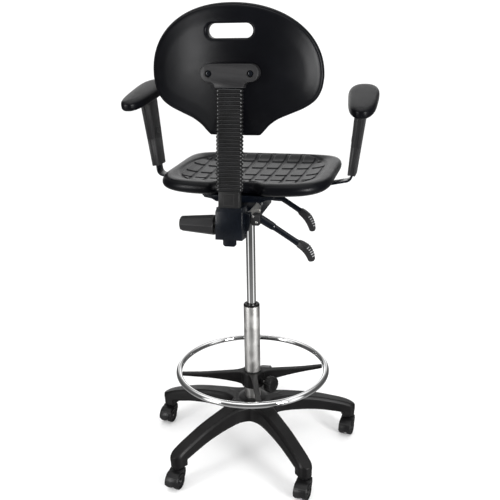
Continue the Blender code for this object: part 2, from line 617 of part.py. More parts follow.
def bar_assembly(frame):
    """Bracket, collar, bar, bellows and the tapered knob, in the leaning frame of the bar."""
    levels = ((0.0360, 0.0070), (0.0370, 0.0080), (0.0370, 0.0820), (0.0340, 0.0900),
              (0.0340, 0.0930))
    rings = []
    for half, z in levels:
        inset = 0.0370 - half
        outline = [(-half, -0.050 + inset), (half, -0.050 + inset), (half, 0.012 - inset),
                   (-half, 0.012 - inset)]
        rings.append([(x, y, z) for x, y in outline])
    bracket = piece("bar_bracket", skin("bar_bracket", [(rings, False)], 30), "black_paint", frame)
    slot_x, slot_y = BAR_HALF_WIDTH + 0.0005, BAR_HALF_DEPTH + 0.0005
    slot = skin("bar_slot", [box(-slot_x, slot_x, -slot_y, slot_y, -0.02, 0.12)])
    combine(bracket, tool("bar_slot_tool", slot, frame))

    outer = rounded_box(0.0290, 0.0112, 0.0025)
    inner = rounded_box(slot_x, slot_y, 0.0010)
    low, high = 0.0933, BELLOWS_Z[0] - GAP
    collar = ([[(x, y, z) for x, y in outline] for outline, z in
               ((outer, low), (outer, high), (inner, high), (inner, low))], True)
    piece("bar_collar", skin("bar_collar", [collar]), "grey_black_plastic", frame)

    ends = [(-0.018, 0.4480), (-0.018, -0.0070), (-0.013, -0.0120), (0.013, -0.0120),
            (0.018, -0.0070), (0.018, 0.4480)]
    bar = prism_y(ends, -BAR_HALF_DEPTH, BAR_HALF_DEPTH)
    piece("back_bar", skin("back_bar", [bar]), "black_paint", frame)

    first, last = BELLOWS_Z
    pitch = (last - first) / BELLOWS_RIBS
    hx, hy = BAR_HALF_WIDTH + 0.0012, BAR_HALF_DEPTH + 0.0012
    hole = [(hx, hy), (-hx, hy), (-hx, -hy), (hx, -hy)]
    rings = [[(x, y, first) for x, y in hole]]
    for rib in range(BELLOWS_RIBS):
        valley = [(0.0325, 0.0090), (-0.0325, 0.0090), (-0.0325, -0.0090), (0.0325, -0.0090)]
        crest = [(0.0360, 0.0118), (-0.0360, 0.0118), (-0.0360, -0.0118), (0.0360, -0.0118)]
        rings.append([(x, y, first + pitch * rib) for x, y in valley])
        rings.append([(x, y, first + pitch * (rib + 0.5)) for x, y in crest])
    rings.append([(x, y, last) for x, y in valley])
    rings.append([(x, y, last) for x, y in hole])
    piece("bellows", skin("bellows", [(rings, True)], 20), "black_rubber", frame)

    knob_axis = frame_at("bar_knob_axis", (0.0, -0.0190, 0.0410), (0, math.pi / 2, 0), frame)
    screw = skin("bar_knob_screw", [rod([(0.0075, 0.0373), (0.0075, 0.0445)], 16)])
    piece("bar_knob_screw", screw, "zinc_steel", knob_axis)
    rings = []
    for reach, radius in ((0.0448, 0.0250), (0.0470, 0.0275), (0.1400, 0.0200), (0.1430, 0.0175)):
        ring = []
        for i in range(24):
            a = 2 * math.pi * i / 24
            r = radius * (1.0 - 0.05 * (0.5 + 0.5 * math.cos(8 * a)))
            ring.append((r * math.cos(a), r * math.sin(a), reach))
        rings.append(ring)
    piece("bar_knob", skin("bar_knob", [(rings, False)], 25), "grey_black_plastic", knob_axis)


def back_middle(x, z):
    """Y of the backrest's middle surface."""
    rise = (z - BACK_WIDEST_Z) / 0.18
    return 0.1555 - 0.010 * rise * rise + BACK_LEAN * (z - BACK_WIDEST_Z) - BACK_CURVE * x * x


def back_half_outline():
    """Right-hand outline of the backrest, from its top down to its foot, as (x, z) pairs."""
    points = []
    height = BACK_TOP_Z - BACK_WIDEST_Z
    for i in range(1, 9):
        a = math.pi / 2 * (1 - (i - 0.5) / 8)
        c, s = math.cos(a), math.sin(a)
        points.append((BACK_HALF_WIDTH * abs(c) ** 0.95, BACK_WIDEST_Z + height * abs(s) ** 0.95))
    points += [(0.2320, 1.166), (0.2260, 1.137), (0.2105, 1.111), (0.1840, 1.0925),
               (0.1480, 1.0775), (0.1160, 1.0640), (0.0930, 1.0480), (0.0790, 1.0330),
               (0.0690, 1.0230), (0.0640, BACK_BOTTOM_Z), (0.0300, BACK_BOTTOM_Z)]
    return points


def backrest():
    """Moulded shell with a handle slot, its plate and the plate's two bolts."""
    right = back_half_outline()
    outline = right + [(-x, z) for x, z in reversed(right)]
    heart = 1.185
    levels = ((1.0, 0.003), (0.985, 0.0085), (0.95, 0.0125), (0.80, 0.0170), (0.50, 0.0200),
              (0.15, 0.0210))
    rings = []
    for sign, order in ((1, reversed(levels)), (-1, levels)):
        for scale, thick in order:
            ring = []
            for x, z in outline:
                px, pz = x * scale, heart + (z - heart) * scale
                ring.append((px + BACK_X, back_middle(px, pz) + sign * thick, pz))
            rings.append(ring)
    shell = piece("backrest", skin("backrest", [(rings, False)], 50), "black_polyurethane")

    length, half = SLOT_HALF
    stadium = []
    for i in range(9):
        a = -math.pi / 2 + math.pi * i / 8
        stadium.append((BACK_X + length - half + half * math.cos(a), SLOT_Z + half * math.sin(a)))
    for i in range(9):
        a = math.pi / 2 + math.pi * i / 8
        stadium.append((BACK_X + half - length + half * math.cos(a), SLOT_Z + half * math.sin(a)))
    cuts = [prism_y(stadium, 0.05, 0.25)]
    for s in (-1, 1):
        hole = [(s * PLATE_BOLT[0] + a, PLATE_BOLT[1] + b) for a, b, _ in circle(0.0036, 0, 12)]
        cuts.append(prism_y(hole, 0.155, 0.25))
    combine(shell, tool("backrest_tool", skin("backrest_cuts", cuts)))


# Back plate, from its middle to an ear's tip: X, lower edge and upper edge.
PLATE_STATIONS = (
    (0.0000, 1.1490, 1.2090), (0.0200, 1.1490, 1.2090), (0.0375, 1.1490, 1.2090),
    (0.0395, 1.1560, 1.2088), (0.0450, 1.1610, 1.2085), (0.0560, 1.1622, 1.2070),
    (0.0660, 1.1650, 1.2040), (0.0730, 1.1710, 1.1980), (0.0775, 1.1810, 1.1880),
)


def back_plate(frame):
    """Cover that holds the bar's top to the backrest, with two countersunk bolts."""
    rings = []
    mirrored = [(-x, low, high) for x, low, high in reversed(PLATE_STATIONS[1:])]
    for x, low, high in mirrored + list(PLATE_STATIONS):
        front_low = back_middle(x, low) + 0.0226
        front_high = back_middle(x, high) + 0.0226
        rear_low = 0.1985 - 0.090 * (low - 1.1845) - 0.25 * x * x
        rear_high = 0.1985 - 0.090 * (high - 1.1845) - 0.25 * x * x
        rings.append([(x, front_low, low), (x, front_high, high), (x, rear_high - 0.0030, high),
                      (x, rear_high, high - 0.0030), (x, rear_low, low + 0.0030),
                      (x, rear_low - 0.0030, low)])
    plate = piece("back_plate", skin("back_plate", [(rings, False)], 30), "grey_black_plastic")
    pocket = skin("plate_pocket", [box(-0.0186, 0.0186, -0.0046, 0.0046, 0.38, 0.4490)])
    combine(plate, tool("plate_pocket_tool", pocket, frame))
    cuts = []
    for s in (-1, 1):
        rings = []
        for radius, y in ((0.0036, 0.15), (0.0036, 0.1915), (0.0090, 0.1916), (0.0090, 0.22)):
            rings.append([(s * PLATE_BOLT[0] + a, y, PLATE_BOLT[1] + b)
                          for a, b, _ in circle(radius, 0, 16)])
        cuts.append((rings, False))
    combine(plate, tool("plate_holes_tool", skin("plate_holes", cuts)))
    bolt = skin("plate_bolt", [rod([(0.0033, -0.030), (0.0033, 0.0), (0.0080, 0.00001),
                                    (0.0080, 0.0030), (0.0065, 0.0040)], 16)])
    for side, s in (("left", 1), ("right", -1)):
        place = (s * PLATE_BOLT[0], 0.1919, PLATE_BOLT[1])
        piece("plate_bolt_" + side, bolt, "black_paint", None, place, (-math.pi / 2, 0, 0))


# Armrests -------------------------------------------------------------------------------
def armrest(side, s):
    """Bent steel bracket, sliding sleeve with a lock button, and a tilted pad."""
    foot_x, foot_z = ARM_FOOT
    direction = Vector((s * math.sin(ARM_FLARE), 0, math.cos(ARM_FLARE)))
    foot = Vector((s * foot_x, ARM_Y, foot_z))
    strap_z, corner_z = 0.8562, 0.8720
    corner = foot + direction * ((corner_z - foot_z) / direction.z)
    path = [(s * 0.112, ARM_Y, strap_z), (s * 0.214, ARM_Y, strap_z), tuple(corner),
            tuple(foot + direction * 0.120)]
    strap = rounded_box(0.0030, 0.0210, 0.0010, 1)
    mesh = skin("arm_bracket", [sweep(filleted(path, 0.018, 6), (0, 1, 0), lambda t: strap)])
    piece("arm_bracket_" + side, mesh, "black_paint")

    sleeve_foot = foot + direction * ARM_SETTING[side]
    frame = frame_at("arm_slide_" + side, sleeve_foot, (0, s * ARM_FLARE, 0))
    top = sleeve_foot + direction * SLEEVE_LENGTH
    middle_y = -0.022
    pad_z = top.z + 0.0200 + (top.y - middle_y) * math.sin(-PAD_TILT)
    pad_place = (top.x + s * 0.005, middle_y, pad_z)
    pad_turn = (-PAD_TILT, 0, -s * PAD_TOE_IN)
    rings = []
    for t in (0.0, 0.45, 0.46, 1.0):
        z = t * SLEEVE_LENGTH
        proud = 0.0004 if 0.45 < t < 0.47 else 0.0
        half_x = 0.0110 + 0.0043 * t + proud
        half_y = 0.0282 + 0.0030 * t + proud
        rings.append([(x, y, z) for x, y in rounded_box(half_x, half_y, 0.0045)])
    # The sleeve's head is cut off along the pad's sloping underside.
    slide = Matrix.Translation(sleeve_foot) @ Matrix.Rotation(s * ARM_FLARE, 4, "Y")
    pad_slope = Matrix.Translation(pad_place) @ Euler(pad_turn).to_matrix().to_4x4()
    to_pad = pad_slope.inverted() @ slide
    climb = (to_pad.to_3x3() @ Vector((0, 0, 1))).z
    rings.append([(x, y, z + (-0.0120 - GAP - (to_pad @ Vector((x, y, z))).z) / climb)
                  for x, y, z in rings[-1]])
    sleeve = piece("arm_sleeve_" + side, skin("arm_sleeve", [(rings, False)]),
                   "grey_black_plastic", frame)
    pocket = box(-0.0034, 0.0034, -0.0214, 0.0214, -0.01, 0.165)
    combine(sleeve, tool("sleeve_pocket_" + side, skin("sleeve_pocket", [pocket]), frame))
    button_z = 0.102
    face = 0.0110 + 0.0043 * button_z / SLEEVE_LENGTH
    hole = [[(-s * x, y, button_z + z) for y, z in rounded_box(0.0093, 0.0118, 0.0088, 4)]
            for x in (0.0042, face + 0.01)]
    combine(sleeve, tool("button_hole_" + side, skin("button_hole", [(hole, False)]), frame))
    rings = []
    for depth, shrink in ((0.0070, 0.0), (face + 0.0016, 0.0), (face + 0.0030, 0.0025)):
        rings.append([(-s * depth, y, z) for y, z in
                      rounded_box(0.0090 - shrink, 0.0115 - shrink, 0.0085 - shrink, 4)])
    piece("arm_button_" + side, skin("arm_button", [(rings, False)], 40), "grey_black_plastic",
          frame, (0, 0, button_z))

    pad_frame = frame_at("arm_pad_frame_" + side, pad_place, pad_turn)
    rings = []
    for inset, z in ((0.012, -0.0120), (0.003, -0.0100), (0.0, -0.0030), (0.0, 0.0060),
                     (0.004, 0.0130), (0.014, 0.0165)):
        ring = []
        for i in range(28):
            a = 2 * math.pi * (i + 0.5) / 28
            c, q = math.cos(a), math.sin(a)
            y = (0.124 - inset) * math.copysign(abs(q) ** 0.62, q)
            width = 0.0395 - 0.0065 * (y / 0.124)
            x = (width - inset) * math.copysign(abs(c) ** 0.80, c) / 0.96
            ring.append((x, y, z))
        rings.append(ring)
    piece("arm_pad_" + side, skin("arm_pad", [(rings, False)], 50), "black_polyurethane",
          pad_frame)


# Build ----------------------------------------------------------------------------------
seat_frame = frame_at("seat_frame", SEAT_CENTRE, (SEAT_TILT, 0, 0))
bar_frame = frame_at("bar_frame", BAR_BASE, (BAR_LEAN, 0, 0))
star_base()
casters()
column()
foot_ring()
seat(seat_frame)
levers()
carrier()
bar_assembly(bar_frame)
backrest()
back_plate(bar_frame)
armrest("left", 1)
armrest("right", -1)
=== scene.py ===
"""Looks of the drafting chair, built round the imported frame.

Metres, +Z up, origin on the floor on the column's axis, the sitter facing -Y (their left is +X).
Every piece in sight is rebuilt here in detail and stands for the CAD node of the same place. The
caster axles, the thrust bearing, the piston rod and the valve pin keep their CAD meshes.
"""
import json
import math

import bmesh
import bpy
import numpy as np
from mathutils import Euler, Matrix, Vector

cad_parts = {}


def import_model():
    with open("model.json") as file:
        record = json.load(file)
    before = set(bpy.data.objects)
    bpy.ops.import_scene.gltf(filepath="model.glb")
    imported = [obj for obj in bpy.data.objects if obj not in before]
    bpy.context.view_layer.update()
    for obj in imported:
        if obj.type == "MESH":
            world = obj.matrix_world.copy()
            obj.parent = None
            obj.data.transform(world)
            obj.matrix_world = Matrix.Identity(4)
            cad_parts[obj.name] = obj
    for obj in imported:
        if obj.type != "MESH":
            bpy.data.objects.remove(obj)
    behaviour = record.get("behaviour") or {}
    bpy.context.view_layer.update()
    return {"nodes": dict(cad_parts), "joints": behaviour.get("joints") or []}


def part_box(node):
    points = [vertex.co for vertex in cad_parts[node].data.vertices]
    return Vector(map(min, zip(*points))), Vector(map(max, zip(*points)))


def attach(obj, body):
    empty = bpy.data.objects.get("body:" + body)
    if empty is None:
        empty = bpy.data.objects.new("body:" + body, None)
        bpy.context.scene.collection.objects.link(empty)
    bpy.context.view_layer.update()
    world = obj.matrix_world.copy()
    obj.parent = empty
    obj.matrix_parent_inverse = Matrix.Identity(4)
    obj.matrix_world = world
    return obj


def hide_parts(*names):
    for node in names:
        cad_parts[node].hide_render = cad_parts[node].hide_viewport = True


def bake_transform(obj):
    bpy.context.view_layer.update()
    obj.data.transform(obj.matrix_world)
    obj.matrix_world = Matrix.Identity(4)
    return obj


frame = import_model()
JOINTS = {joint["name"]: joint for joint in frame["joints"]}
TAU = 2 * math.pi

# Driving dimensions, as in the CAD -----------------------------------------------------------
WHEEL_RADIUS = 0.025
WHEEL_WIDTH = 0.016
WHEEL_OFFSET = 0.0128
CASTER_TRAIL = 0.020
TUBE_RADIUS = 0.025
CYLINDER_RADIUS = 0.014
SEAT_CENTRE = Vector((0.0, -0.050, 0.882))
SEAT_TILT = -0.030
SEAT_HALF_WIDTH = 0.246
SEAT_HALF_DEPTH = 0.215
BAR_BASE = Vector((0.0, 0.2292, 0.750))
BAR_LEAN = 0.094
BELLOWS_Z = (0.1365, 0.3985)
BELLOWS_RIBS = 27
BACK_TOP_Z = 1.3562                # where the CAD's faceted outline ends
BACK_WIDEST_Z = 1.178
BACK_HALF_WIDTH = 0.2325
BACK_X = 0.003
BACK_CURVE = 0.90
BACK_LEAN = 0.06
SLOT_HALF = (0.0605, 0.0180)
SLOT_Z = 1.288
PLATE_BOLT = (0.055, 1.1845)
ARM_FLARE = math.radians(6.6)
ARM_Y = -0.044
ARM_FOOT = (0.2937, 0.8935)
ARM_SETTING = {"left": 0.006, "right": -0.006}
SLEEVE_LENGTH = 0.186
PAD_TILT = math.radians(11.5)
PAD_TOE_IN = math.radians(3.0)
FIRST_SPOKE_DEG = 18.6
RING_KNOB_DEG = 153.6
RING_KNOB_Z = 0.228
RING_RADIUS = 0.232                # to the middle of the ring's tube
RING_TUBE_RADIUS = 0.009


# Materials -----------------------------------------------------------------------------------
class Graph:
    """A short way to build one material's nodes. Patterns read object coordinates, in metres."""

    def __init__(self, name):
        self.material = bpy.data.materials.new(name)
        self.material.use_nodes = True
        self.tree = self.material.node_tree
        self.shader = self.tree.nodes["Principled BSDF"]
        self.place = self.tree.nodes.new("ShaderNodeTexCoord").outputs["Object"]

    def node(self, kind, output, values, **settings):
        """Adds a node; its inputs are linked when the value is a socket and set otherwise."""
        node = self.tree.nodes.new(kind)
        for key, value in settings.items():
            setattr(node, key, value)
        for key, value in values.items():
            if isinstance(value, bpy.types.NodeSocket):
                self.tree.links.new(value, node.inputs[key])
            else:
                node.inputs[key].default_value = value
        return node.outputs[output]

    def stretched(self, *scale):
        """Coordinates scaled differently along X, Y and Z."""
        return self.node("ShaderNodeMapping", "Vector", {"Scale": scale, "Vector": self.place})

    def noise(self, scale, detail=3.0, roughness=0.55, place=None):
        values = {"Scale": scale, "Detail": detail, "Roughness": roughness, "Vector": place or self.place}
        return self.node("ShaderNodeTexNoise", "Fac", values)

    def cells(self, scale, output="Distance"):
        return self.node("ShaderNodeTexVoronoi", output, {"Scale": scale, "Vector": self.place})

    def spread(self, value, low, high, out_low=0.0, out_high=1.0):
        """The value's range mapped to another range, clamped."""
        values = {"Value": value, "From Min": low, "From Max": high, "To Min": out_low, "To Max": out_high}
        return self.node("ShaderNodeMapRange", "Result", values)

    def blend(self, factor, under, over):
        """From one colour to another by a factor; a colour is a triple or a socket."""
        pair = [c if isinstance(c, bpy.types.NodeSocket) else (*c, 1.0) for c in (under, over)]
        values = {"Factor": factor, "A": pair[0], "B": pair[1]}
        return self.node("ShaderNodeMix", "Result", values, data_type="RGBA")

    def clouds(self, noise, dark, light, low=0.3, high=0.7):
        """Two shades mixed by a soft noise."""
        return self.blend(self.spread(noise, low, high), dark, light)

    def total(self, first, second, share):
        """first + share * second."""
        values = {0: second, 1: share, 2: first}
        return self.node("ShaderNodeMath", "Value", values, operation="MULTIPLY_ADD")

    def edges(self, low, high):
        """High on convex edges, where hands and feet wear the finish."""
        return self.spread(self.node("ShaderNodeNewGeometry", "Pointiness", {}), low, high)

    def finish(self, colour, rough, height=None, depth=0.0, **constants):
        """Links the colour, roughness and bump to the shader and sets its constants."""
        inputs = self.shader.inputs
        self.tree.links.new(colour, inputs["Base Color"])
        self.tree.links.new(rough, inputs["Roughness"])
        if height:
            values = {"Distance": depth, "Strength": 1.0, "Height": height}
            self.tree.links.new(self.node("ShaderNodeBump", "Normal", values), inputs["Normal"])
        for key, value in constants.items():
            inputs[key.replace("_", " ")].default_value = value
        return self.material


def moulded(name, dark, light, rough, grain, depth, worn, specular=0.5):
    """Moulded plastic: cloudy colour, a fine spark-eroded grain and slightly polished edges."""
    g = Graph(name)
    colour = g.blend(g.edges(0.52, 0.60), g.clouds(g.noise(14.0, 4.0), dark, light), worn)
    fine = g.noise(grain, 3.0, 0.7)
    scuffs = g.noise(9.0, 5.0, 0.6, g.stretched(1.0, 3.0, 7.0))
    sheen = g.spread(g.total(fine, scuffs, 1.2), 0.8, 1.5, rough - 0.06, rough + 0.09)
    pits = g.total(fine, g.cells(grain * 0.6), 0.7)
    return g.finish(colour, sheen, pits, depth, Specular_IOR_Level=specular)


def skinned_foam(name, dark, light, rough):
    """Self-skinned polyurethane: soft sheen, very fine pores, faint swirls in the gloss."""
    g = Graph(name)
    worn = tuple(1.7 * c for c in light)
    colour = g.blend(g.edges(0.53, 0.62), g.clouds(g.noise(7.0, 5.0, 0.6), dark, light), worn)
    grain = g.noise(420.0, 4.0, 0.6)
    swirl = g.noise(18.0, 6.0, 0.65, g.stretched(1.0, 1.6, 2.2))
    sheen = g.spread(g.total(grain, swirl, 1.5), 0.9, 1.7, rough - 0.03, rough + 0.04)
    pores = g.total(grain, g.cells(900.0), 0.5)
    return g.finish(colour, sheen, pores, 0.00016, Specular_IOR_Level=0.15)


def powder_coat(name, dark, light, rough):
    """Gloss powder coat on steel, with orange peel and a few brighter rubbed edges."""
    g = Graph(name)
    base = g.clouds(g.noise(22.0), dark, light, 0.35, 0.65)
    colour = g.blend(g.edges(0.56, 0.66), base, (0.020, 0.022, 0.026))
    sheen = g.spread(g.noise(60.0, 4.0), 0.3, 0.7, rough - 0.03, rough + 0.03)
    return g.finish(colour, sheen, g.noise(650.0, 2.0, 0.5), 0.00005,
                    Coat_Weight=0.15, Coat_Roughness=0.16, Specular_IOR_Level=0.30)


def plated(name, dark, light, rough, line_scale, depth):
    """Chrome over a ground tube: hair lines round the tube and small changes in the gloss."""
    g = Graph(name)
    lines = g.noise(40.0, 4.0, 0.7, g.stretched(1.0, 1.0, line_scale))
    haze = g.noise(26.0, 5.0, 0.6)
    sheen = g.spread(g.total(haze, lines, 0.8), 0.6, 1.2, rough * 0.6, rough * 1.6)
    return g.finish(g.clouds(haze, dark, light), sheen, lines, depth, Metallic=1.0)


def zinc(name):
    """Bright zinc plate: faint spangle, fine rolling lines, dull patches."""
    g = Graph(name)
    spangle = g.node("ShaderNodeRGBToBW", "Val", {"Color": g.cells(240.0, "Color")})
    mixed = g.total(g.noise(30.0, 5.0, 0.6), spangle, 0.5)
    colour = g.clouds(mixed, (0.42, 0.42, 0.41), (0.66, 0.65, 0.62), 0.4, 1.0)
    lines = g.noise(90.0, 3.0, 0.6, g.stretched(1.0, 8.0, 1.0))
    return g.finish(colour, g.spread(mixed, 0.4, 1.0, 0.28, 0.48), lines, 0.00012, Metallic=1.0)


def flexible_rubber(name):
    """Satin rubber, its colour a little cloudy."""
    g = Graph(name)
    colour = g.clouds(g.noise(30.0, 4.0), (0.006, 0.006, 0.006), (0.010, 0.010, 0.0105))
    sheen = g.spread(g.noise(160.0), 0.3, 0.7, 0.10, 0.16)
    return g.finish(colour, sheen, g.noise(700.0, 2.0), 0.00002, Specular_IOR_Level=0.45)


def painted_floor(name):
    """Very pale, almost shadowless studio floor."""
    g = Graph(name)
    colour = g.blend(g.noise(1.5), (0.955, 0.955, 0.955), (0.98, 0.98, 0.98))
    return g.finish(colour, g.spread(g.noise(8.0), 0.3, 0.7, 0.55, 0.70))


NYLON = moulded("black_nylon", (0.0032, 0.0030, 0.0031), (0.0062, 0.0058, 0.0060), 0.38, 1500.0,
                0.00012, (0.016, 0.016, 0.016), 0.22)
CASTER = moulded("caster_black", (0.0032, 0.0031, 0.0034), (0.0062, 0.0060, 0.0064), 0.33, 1900.0,
                 0.00008, (0.016, 0.016, 0.016), 0.25)
PLASTIC = moulded("grey_black_plastic", (0.0090, 0.0088, 0.0094), (0.0140, 0.0136, 0.0144), 0.40,
                  1300.0, 0.00012, (0.032, 0.032, 0.033), 0.26)
# Light grey for the grip ribs: a painted glint, standing in for the highlights on glossy ribs.
RIB_GLINT = moulded("grip_marks", (0.16, 0.16, 0.165), (0.26, 0.26, 0.265), 0.30, 1300.0, 0.00008,
               (0.34, 0.34, 0.34))
FOAM = skinned_foam("black_polyurethane", (0.0012, 0.0013, 0.0020), (0.0026, 0.0028, 0.0040), 0.31)
PAINT = powder_coat("black_paint", (0.0014, 0.0022, 0.0040), (0.0026, 0.0038, 0.0065), 0.24)
CHROME = plated("chrome", (0.82, 0.82, 0.82), (0.93, 0.93, 0.93), 0.045, 1.0, 0.000003)
SATIN = plated("satin_chrome", (0.56, 0.555, 0.54), (0.70, 0.69, 0.675), 0.42, 24.0, 0.00003)
ZINC = zinc("zinc_steel")
RUBBER = flexible_rubber("black_rubber")


# Shape helpers -------------------------------------------------------------------------------
def smooth_curve(xs, ys):
    """A monotone cubic curve through points; returns a function of x."""
    xs, ys = np.asarray(xs, float), np.asarray(ys, float)
    h, slope = np.diff(xs), np.diff(ys) / np.diff(xs)
    m = np.zeros(len(xs))
    m[0], m[-1] = slope[0], slope[-1]
    for i in range(1, len(xs) - 1):
        if slope[i - 1] * slope[i] > 0:
            m[i] = 2 * slope[i - 1] * slope[i] / (slope[i - 1] + slope[i])

    def value(x):
        x = np.clip(np.asarray(x, float), xs[0], xs[-1])
        i = np.clip(np.searchsorted(xs, x, side="right") - 1, 0, len(h) - 1)
        t = (x - xs[i]) / h[i]
        return ((1 + 2 * t) * (1 - t) ** 2 * ys[i] + t * (1 - t) ** 2 * h[i] * m[i]
                + t * t * (3 - 2 * t) * ys[i + 1] - t * t * (1 - t) * h[i] * m[i + 1])

    return value


def smooth_step(value, low, high):
    """0 below low, 1 above high, smooth between."""
    t = np.clip((value - low) / (high - low), 0.0, 1.0)
    return t * t * (3 - 2 * t)


def rounded_path(points, count):
    """An open smooth path: Catmull-Rom through points, evenly spaced."""
    p = np.asarray(points, float)
    ext = np.vstack([2 * p[0] - p[1], p, 2 * p[-1] - p[-2]])
    dense = []
    for i in range(1, len(ext) - 2):
        a, b, c, d = ext[i - 1], ext[i], ext[i + 1], ext[i + 2]
        for t in np.linspace(0, 1, 24, endpoint=False):
            dense.append(0.5 * (2 * b + (c - a) * t + (2 * a - 5 * b + 4 * c - d) * t * t
                                + (3 * b - a - 3 * c + d) * t ** 3))
    dense.append(p[-1])
    return spaced(np.array(dense), count)


def spaced(line, count):
    """Points evenly spaced along a polyline."""
    steps = np.linalg.norm(np.diff(line, axis=0), axis=1)
    along = np.concatenate([[0], np.cumsum(steps)])
    wanted = np.linspace(0, along[-1], count)
    return np.column_stack([np.interp(wanted, along, line[:, k]) for k in range(line.shape[1])])


def placed(name, data):
    """A new object in the scene."""
    obj = bpy.data.objects.new(name, data)
    bpy.context.scene.collection.objects.link(obj)
    return obj


def make(name, verts, faces, material, smooth_deg=40.0):
    """A piece from vertices and faces, normals outwards, shaded smooth up to an angle."""
    mesh = bpy.data.meshes.new(name)
    mesh.from_pydata([tuple(v) for v in verts], [], faces)
    bm = bmesh.new()
    bm.from_mesh(mesh)
    bmesh.ops.recalc_face_normals(bm, faces=bm.faces)
    bm.to_mesh(mesh)
    bm.free()
    mesh.shade_smooth()
    mesh.set_sharp_from_angle(angle=math.radians(smooth_deg))
    mesh.materials.append(material)
    return placed(name, mesh)


def skin(name, bodies, material, smooth_deg=40.0, at=None):
    """A piece from lists of rings; each body is (rings, closed), and closed joins its ends."""
    verts, faces = [], []
    for rings, closed in bodies:
        first, n = len(verts), len(rings[0])
        for ring in rings:
            verts.extend(ring)
        count = len(rings)
        for k in range(count if closed else count - 1):
            a, b = first + k * n, first + (k + 1) % count * n
            faces.extend((a + i, a + (i + 1) % n, b + (i + 1) % n, b + i) for i in range(n))
        if not closed:
            faces.append(tuple(range(first + n - 1, first - 1, -1)))
            faces.append(tuple(range(first + (count - 1) * n, first + count * n)))
    if at is not None:
        verts = [at @ Vector(v) for v in verts]
    return make(name, verts, faces, material, smooth_deg)


def circle(radius, z, sides):
    return [(radius * math.cos(TAU * i / sides), radius * math.sin(TAU * i / sides), z)
            for i in range(sides)]


def turned(profile, sides, closed=True):
    """Rings of a turned piece from (radius, z) pairs; closed makes it a hollow one."""
    return [circle(radius, z, sides) for radius, z in profile], closed


def eased(profile, radius, steps=3):
    """A closed outline of pairs with its corners rounded."""
    points = [Vector(p) for p in profile]
    out = []
    for i, corner in enumerate(points):
        to_last = points[i - 1] - corner
        to_next = points[(i + 1) % len(points)] - corner
        angle = to_last.angle(to_next)
        reach = min(radius / math.tan(angle / 2), 0.45 * to_last.length, 0.45 * to_next.length)
        start = corner + to_last.normalized() * reach
        end = corner + to_next.normalized() * reach
        for k in range(steps + 1):
            t = k / steps
            out.append(tuple(start * (1 - t) ** 2 + corner * 2 * t * (1 - t) + end * t * t))
    return out


def carved(stations, sides, shape):
    """Rings of a turned piece from (z, radius, share); shape(angle, share) scales the radius."""
    rings = []
    for z, radius, share in stations:
        ring = []
        for i in range(sides):
            a = TAU * i / sides
            r = radius * shape(a, share)
            ring.append((r * math.cos(a), r * math.sin(a), z))
        rings.append(ring)
    return rings


def flats(angle, count):
    """A regular polygon's radius at an angle, as a share of its corners' radius."""
    part = TAU / count
    return math.cos(part / 2) / math.cos((angle + part / 2) % part - part / 2)


def arc(centre, radius, first, last, steps):
    """Pairs along an arc between two angles in degrees."""
    angles = [math.radians(first + (last - first) * i / steps) for i in range(steps + 1)]
    return [(centre[0] + radius * math.cos(a), centre[1] + radius * math.sin(a)) for a in angles]


def rounded_box(half_x, half_y, corner, steps=4):
    """A rectangle with rounded corners, as (x, y) pairs."""
    points = []
    for quarter, (sx, sy) in enumerate(((1, 1), (-1, 1), (-1, -1), (1, -1))):
        centre = (sx * (half_x - corner), sy * (half_y - corner))
        points += arc(centre, corner, 90 * quarter, 90 * (quarter + 1), steps)
    return points


def lifted(outline, z, scale=1.0):
    """An outline of pairs as a ring at one height."""
    return [(x * scale, y * scale, z) for x, y in outline]


def slab(outline, low, high, edge, to_point=lambda u, v, w: (u, v, w), steps=3):
    """A plate over an outline, with rounded upper and lower edges."""
    p = np.array(outline)
    q = np.roll(p, -1, axis=0)
    side = -1 if np.sum(p[:, 0] * q[:, 1] - q[:, 0] * p[:, 1]) < 0 else 1
    turns = [math.pi / 2 * i / steps for i in range(steps + 1)]
    levels = [(edge * (1 - math.sin(a)), low + edge * (1 - math.cos(a))) for a in turns]
    levels += [(edge * (1 - math.cos(a)), high - edge * (1 - math.sin(a))) for a in turns]
    rings = []
    for inset, level in levels:
        ring = []
        for i, (u, v) in enumerate(outline):
            before, after = outline[i - 1], outline[(i + 1) % len(outline)]
            along = Vector((after[0] - before[0], after[1] - before[1])).normalized()
            ring.append(to_point(u - side * along.y * inset, v + side * along.x * inset, level))
        rings.append(ring)
    return rings, False


def sweep(path, side, section):
    """Rings of a section carried along a path; section(t) gives (normal, side) offsets."""
    side = Vector(side).normalized()
    rings = []
    for i, point in enumerate(path):
        before, after = path[max(i - 1, 0)], path[min(i + 1, len(path) - 1)]
        normal = side.cross(Vector(after) - Vector(before)).normalized()
        rings.append([tuple(Vector(point) + normal * u + side * v)
                      for u, v in section(i / (len(path) - 1))])
    return rings, False


def filleted(points, radius, steps=10):
    """A path through points with its inner corners rounded."""
    points = [Vector(p) for p in points]
    path = [points[0]]
    for before, corner, after in zip(points, points[1:], points[2:]):
        back, ahead = (before - corner).normalized(), (after - corner).normalized()
        half = back.angle(ahead) / 2
        reach = radius / math.tan(half)
        centre = corner + (back + ahead).normalized() * radius / math.sin(half)
        start = (corner + back * reach - centre).normalized()
        end = (corner + ahead * reach - centre).normalized()
        for i in range(steps + 1):
            path.append(centre + start.slerp(end, i / steps) * radius)
    path.append(points[-1])
    return path


def settle(obj, *tools, smooth_deg=40.0):
    """Apply the modifiers, drop the tools and shade the result."""
    graph = bpy.context.evaluated_depsgraph_get()
    mesh = bpy.data.meshes.new_from_object(obj.evaluated_get(graph))
    obj.modifiers.clear()
    obj.data = mesh
    for old in tools:
        bpy.data.objects.remove(old, do_unlink=True)
    mesh.shade_smooth()
    mesh.set_sharp_from_angle(angle=math.radians(smooth_deg))
    return obj


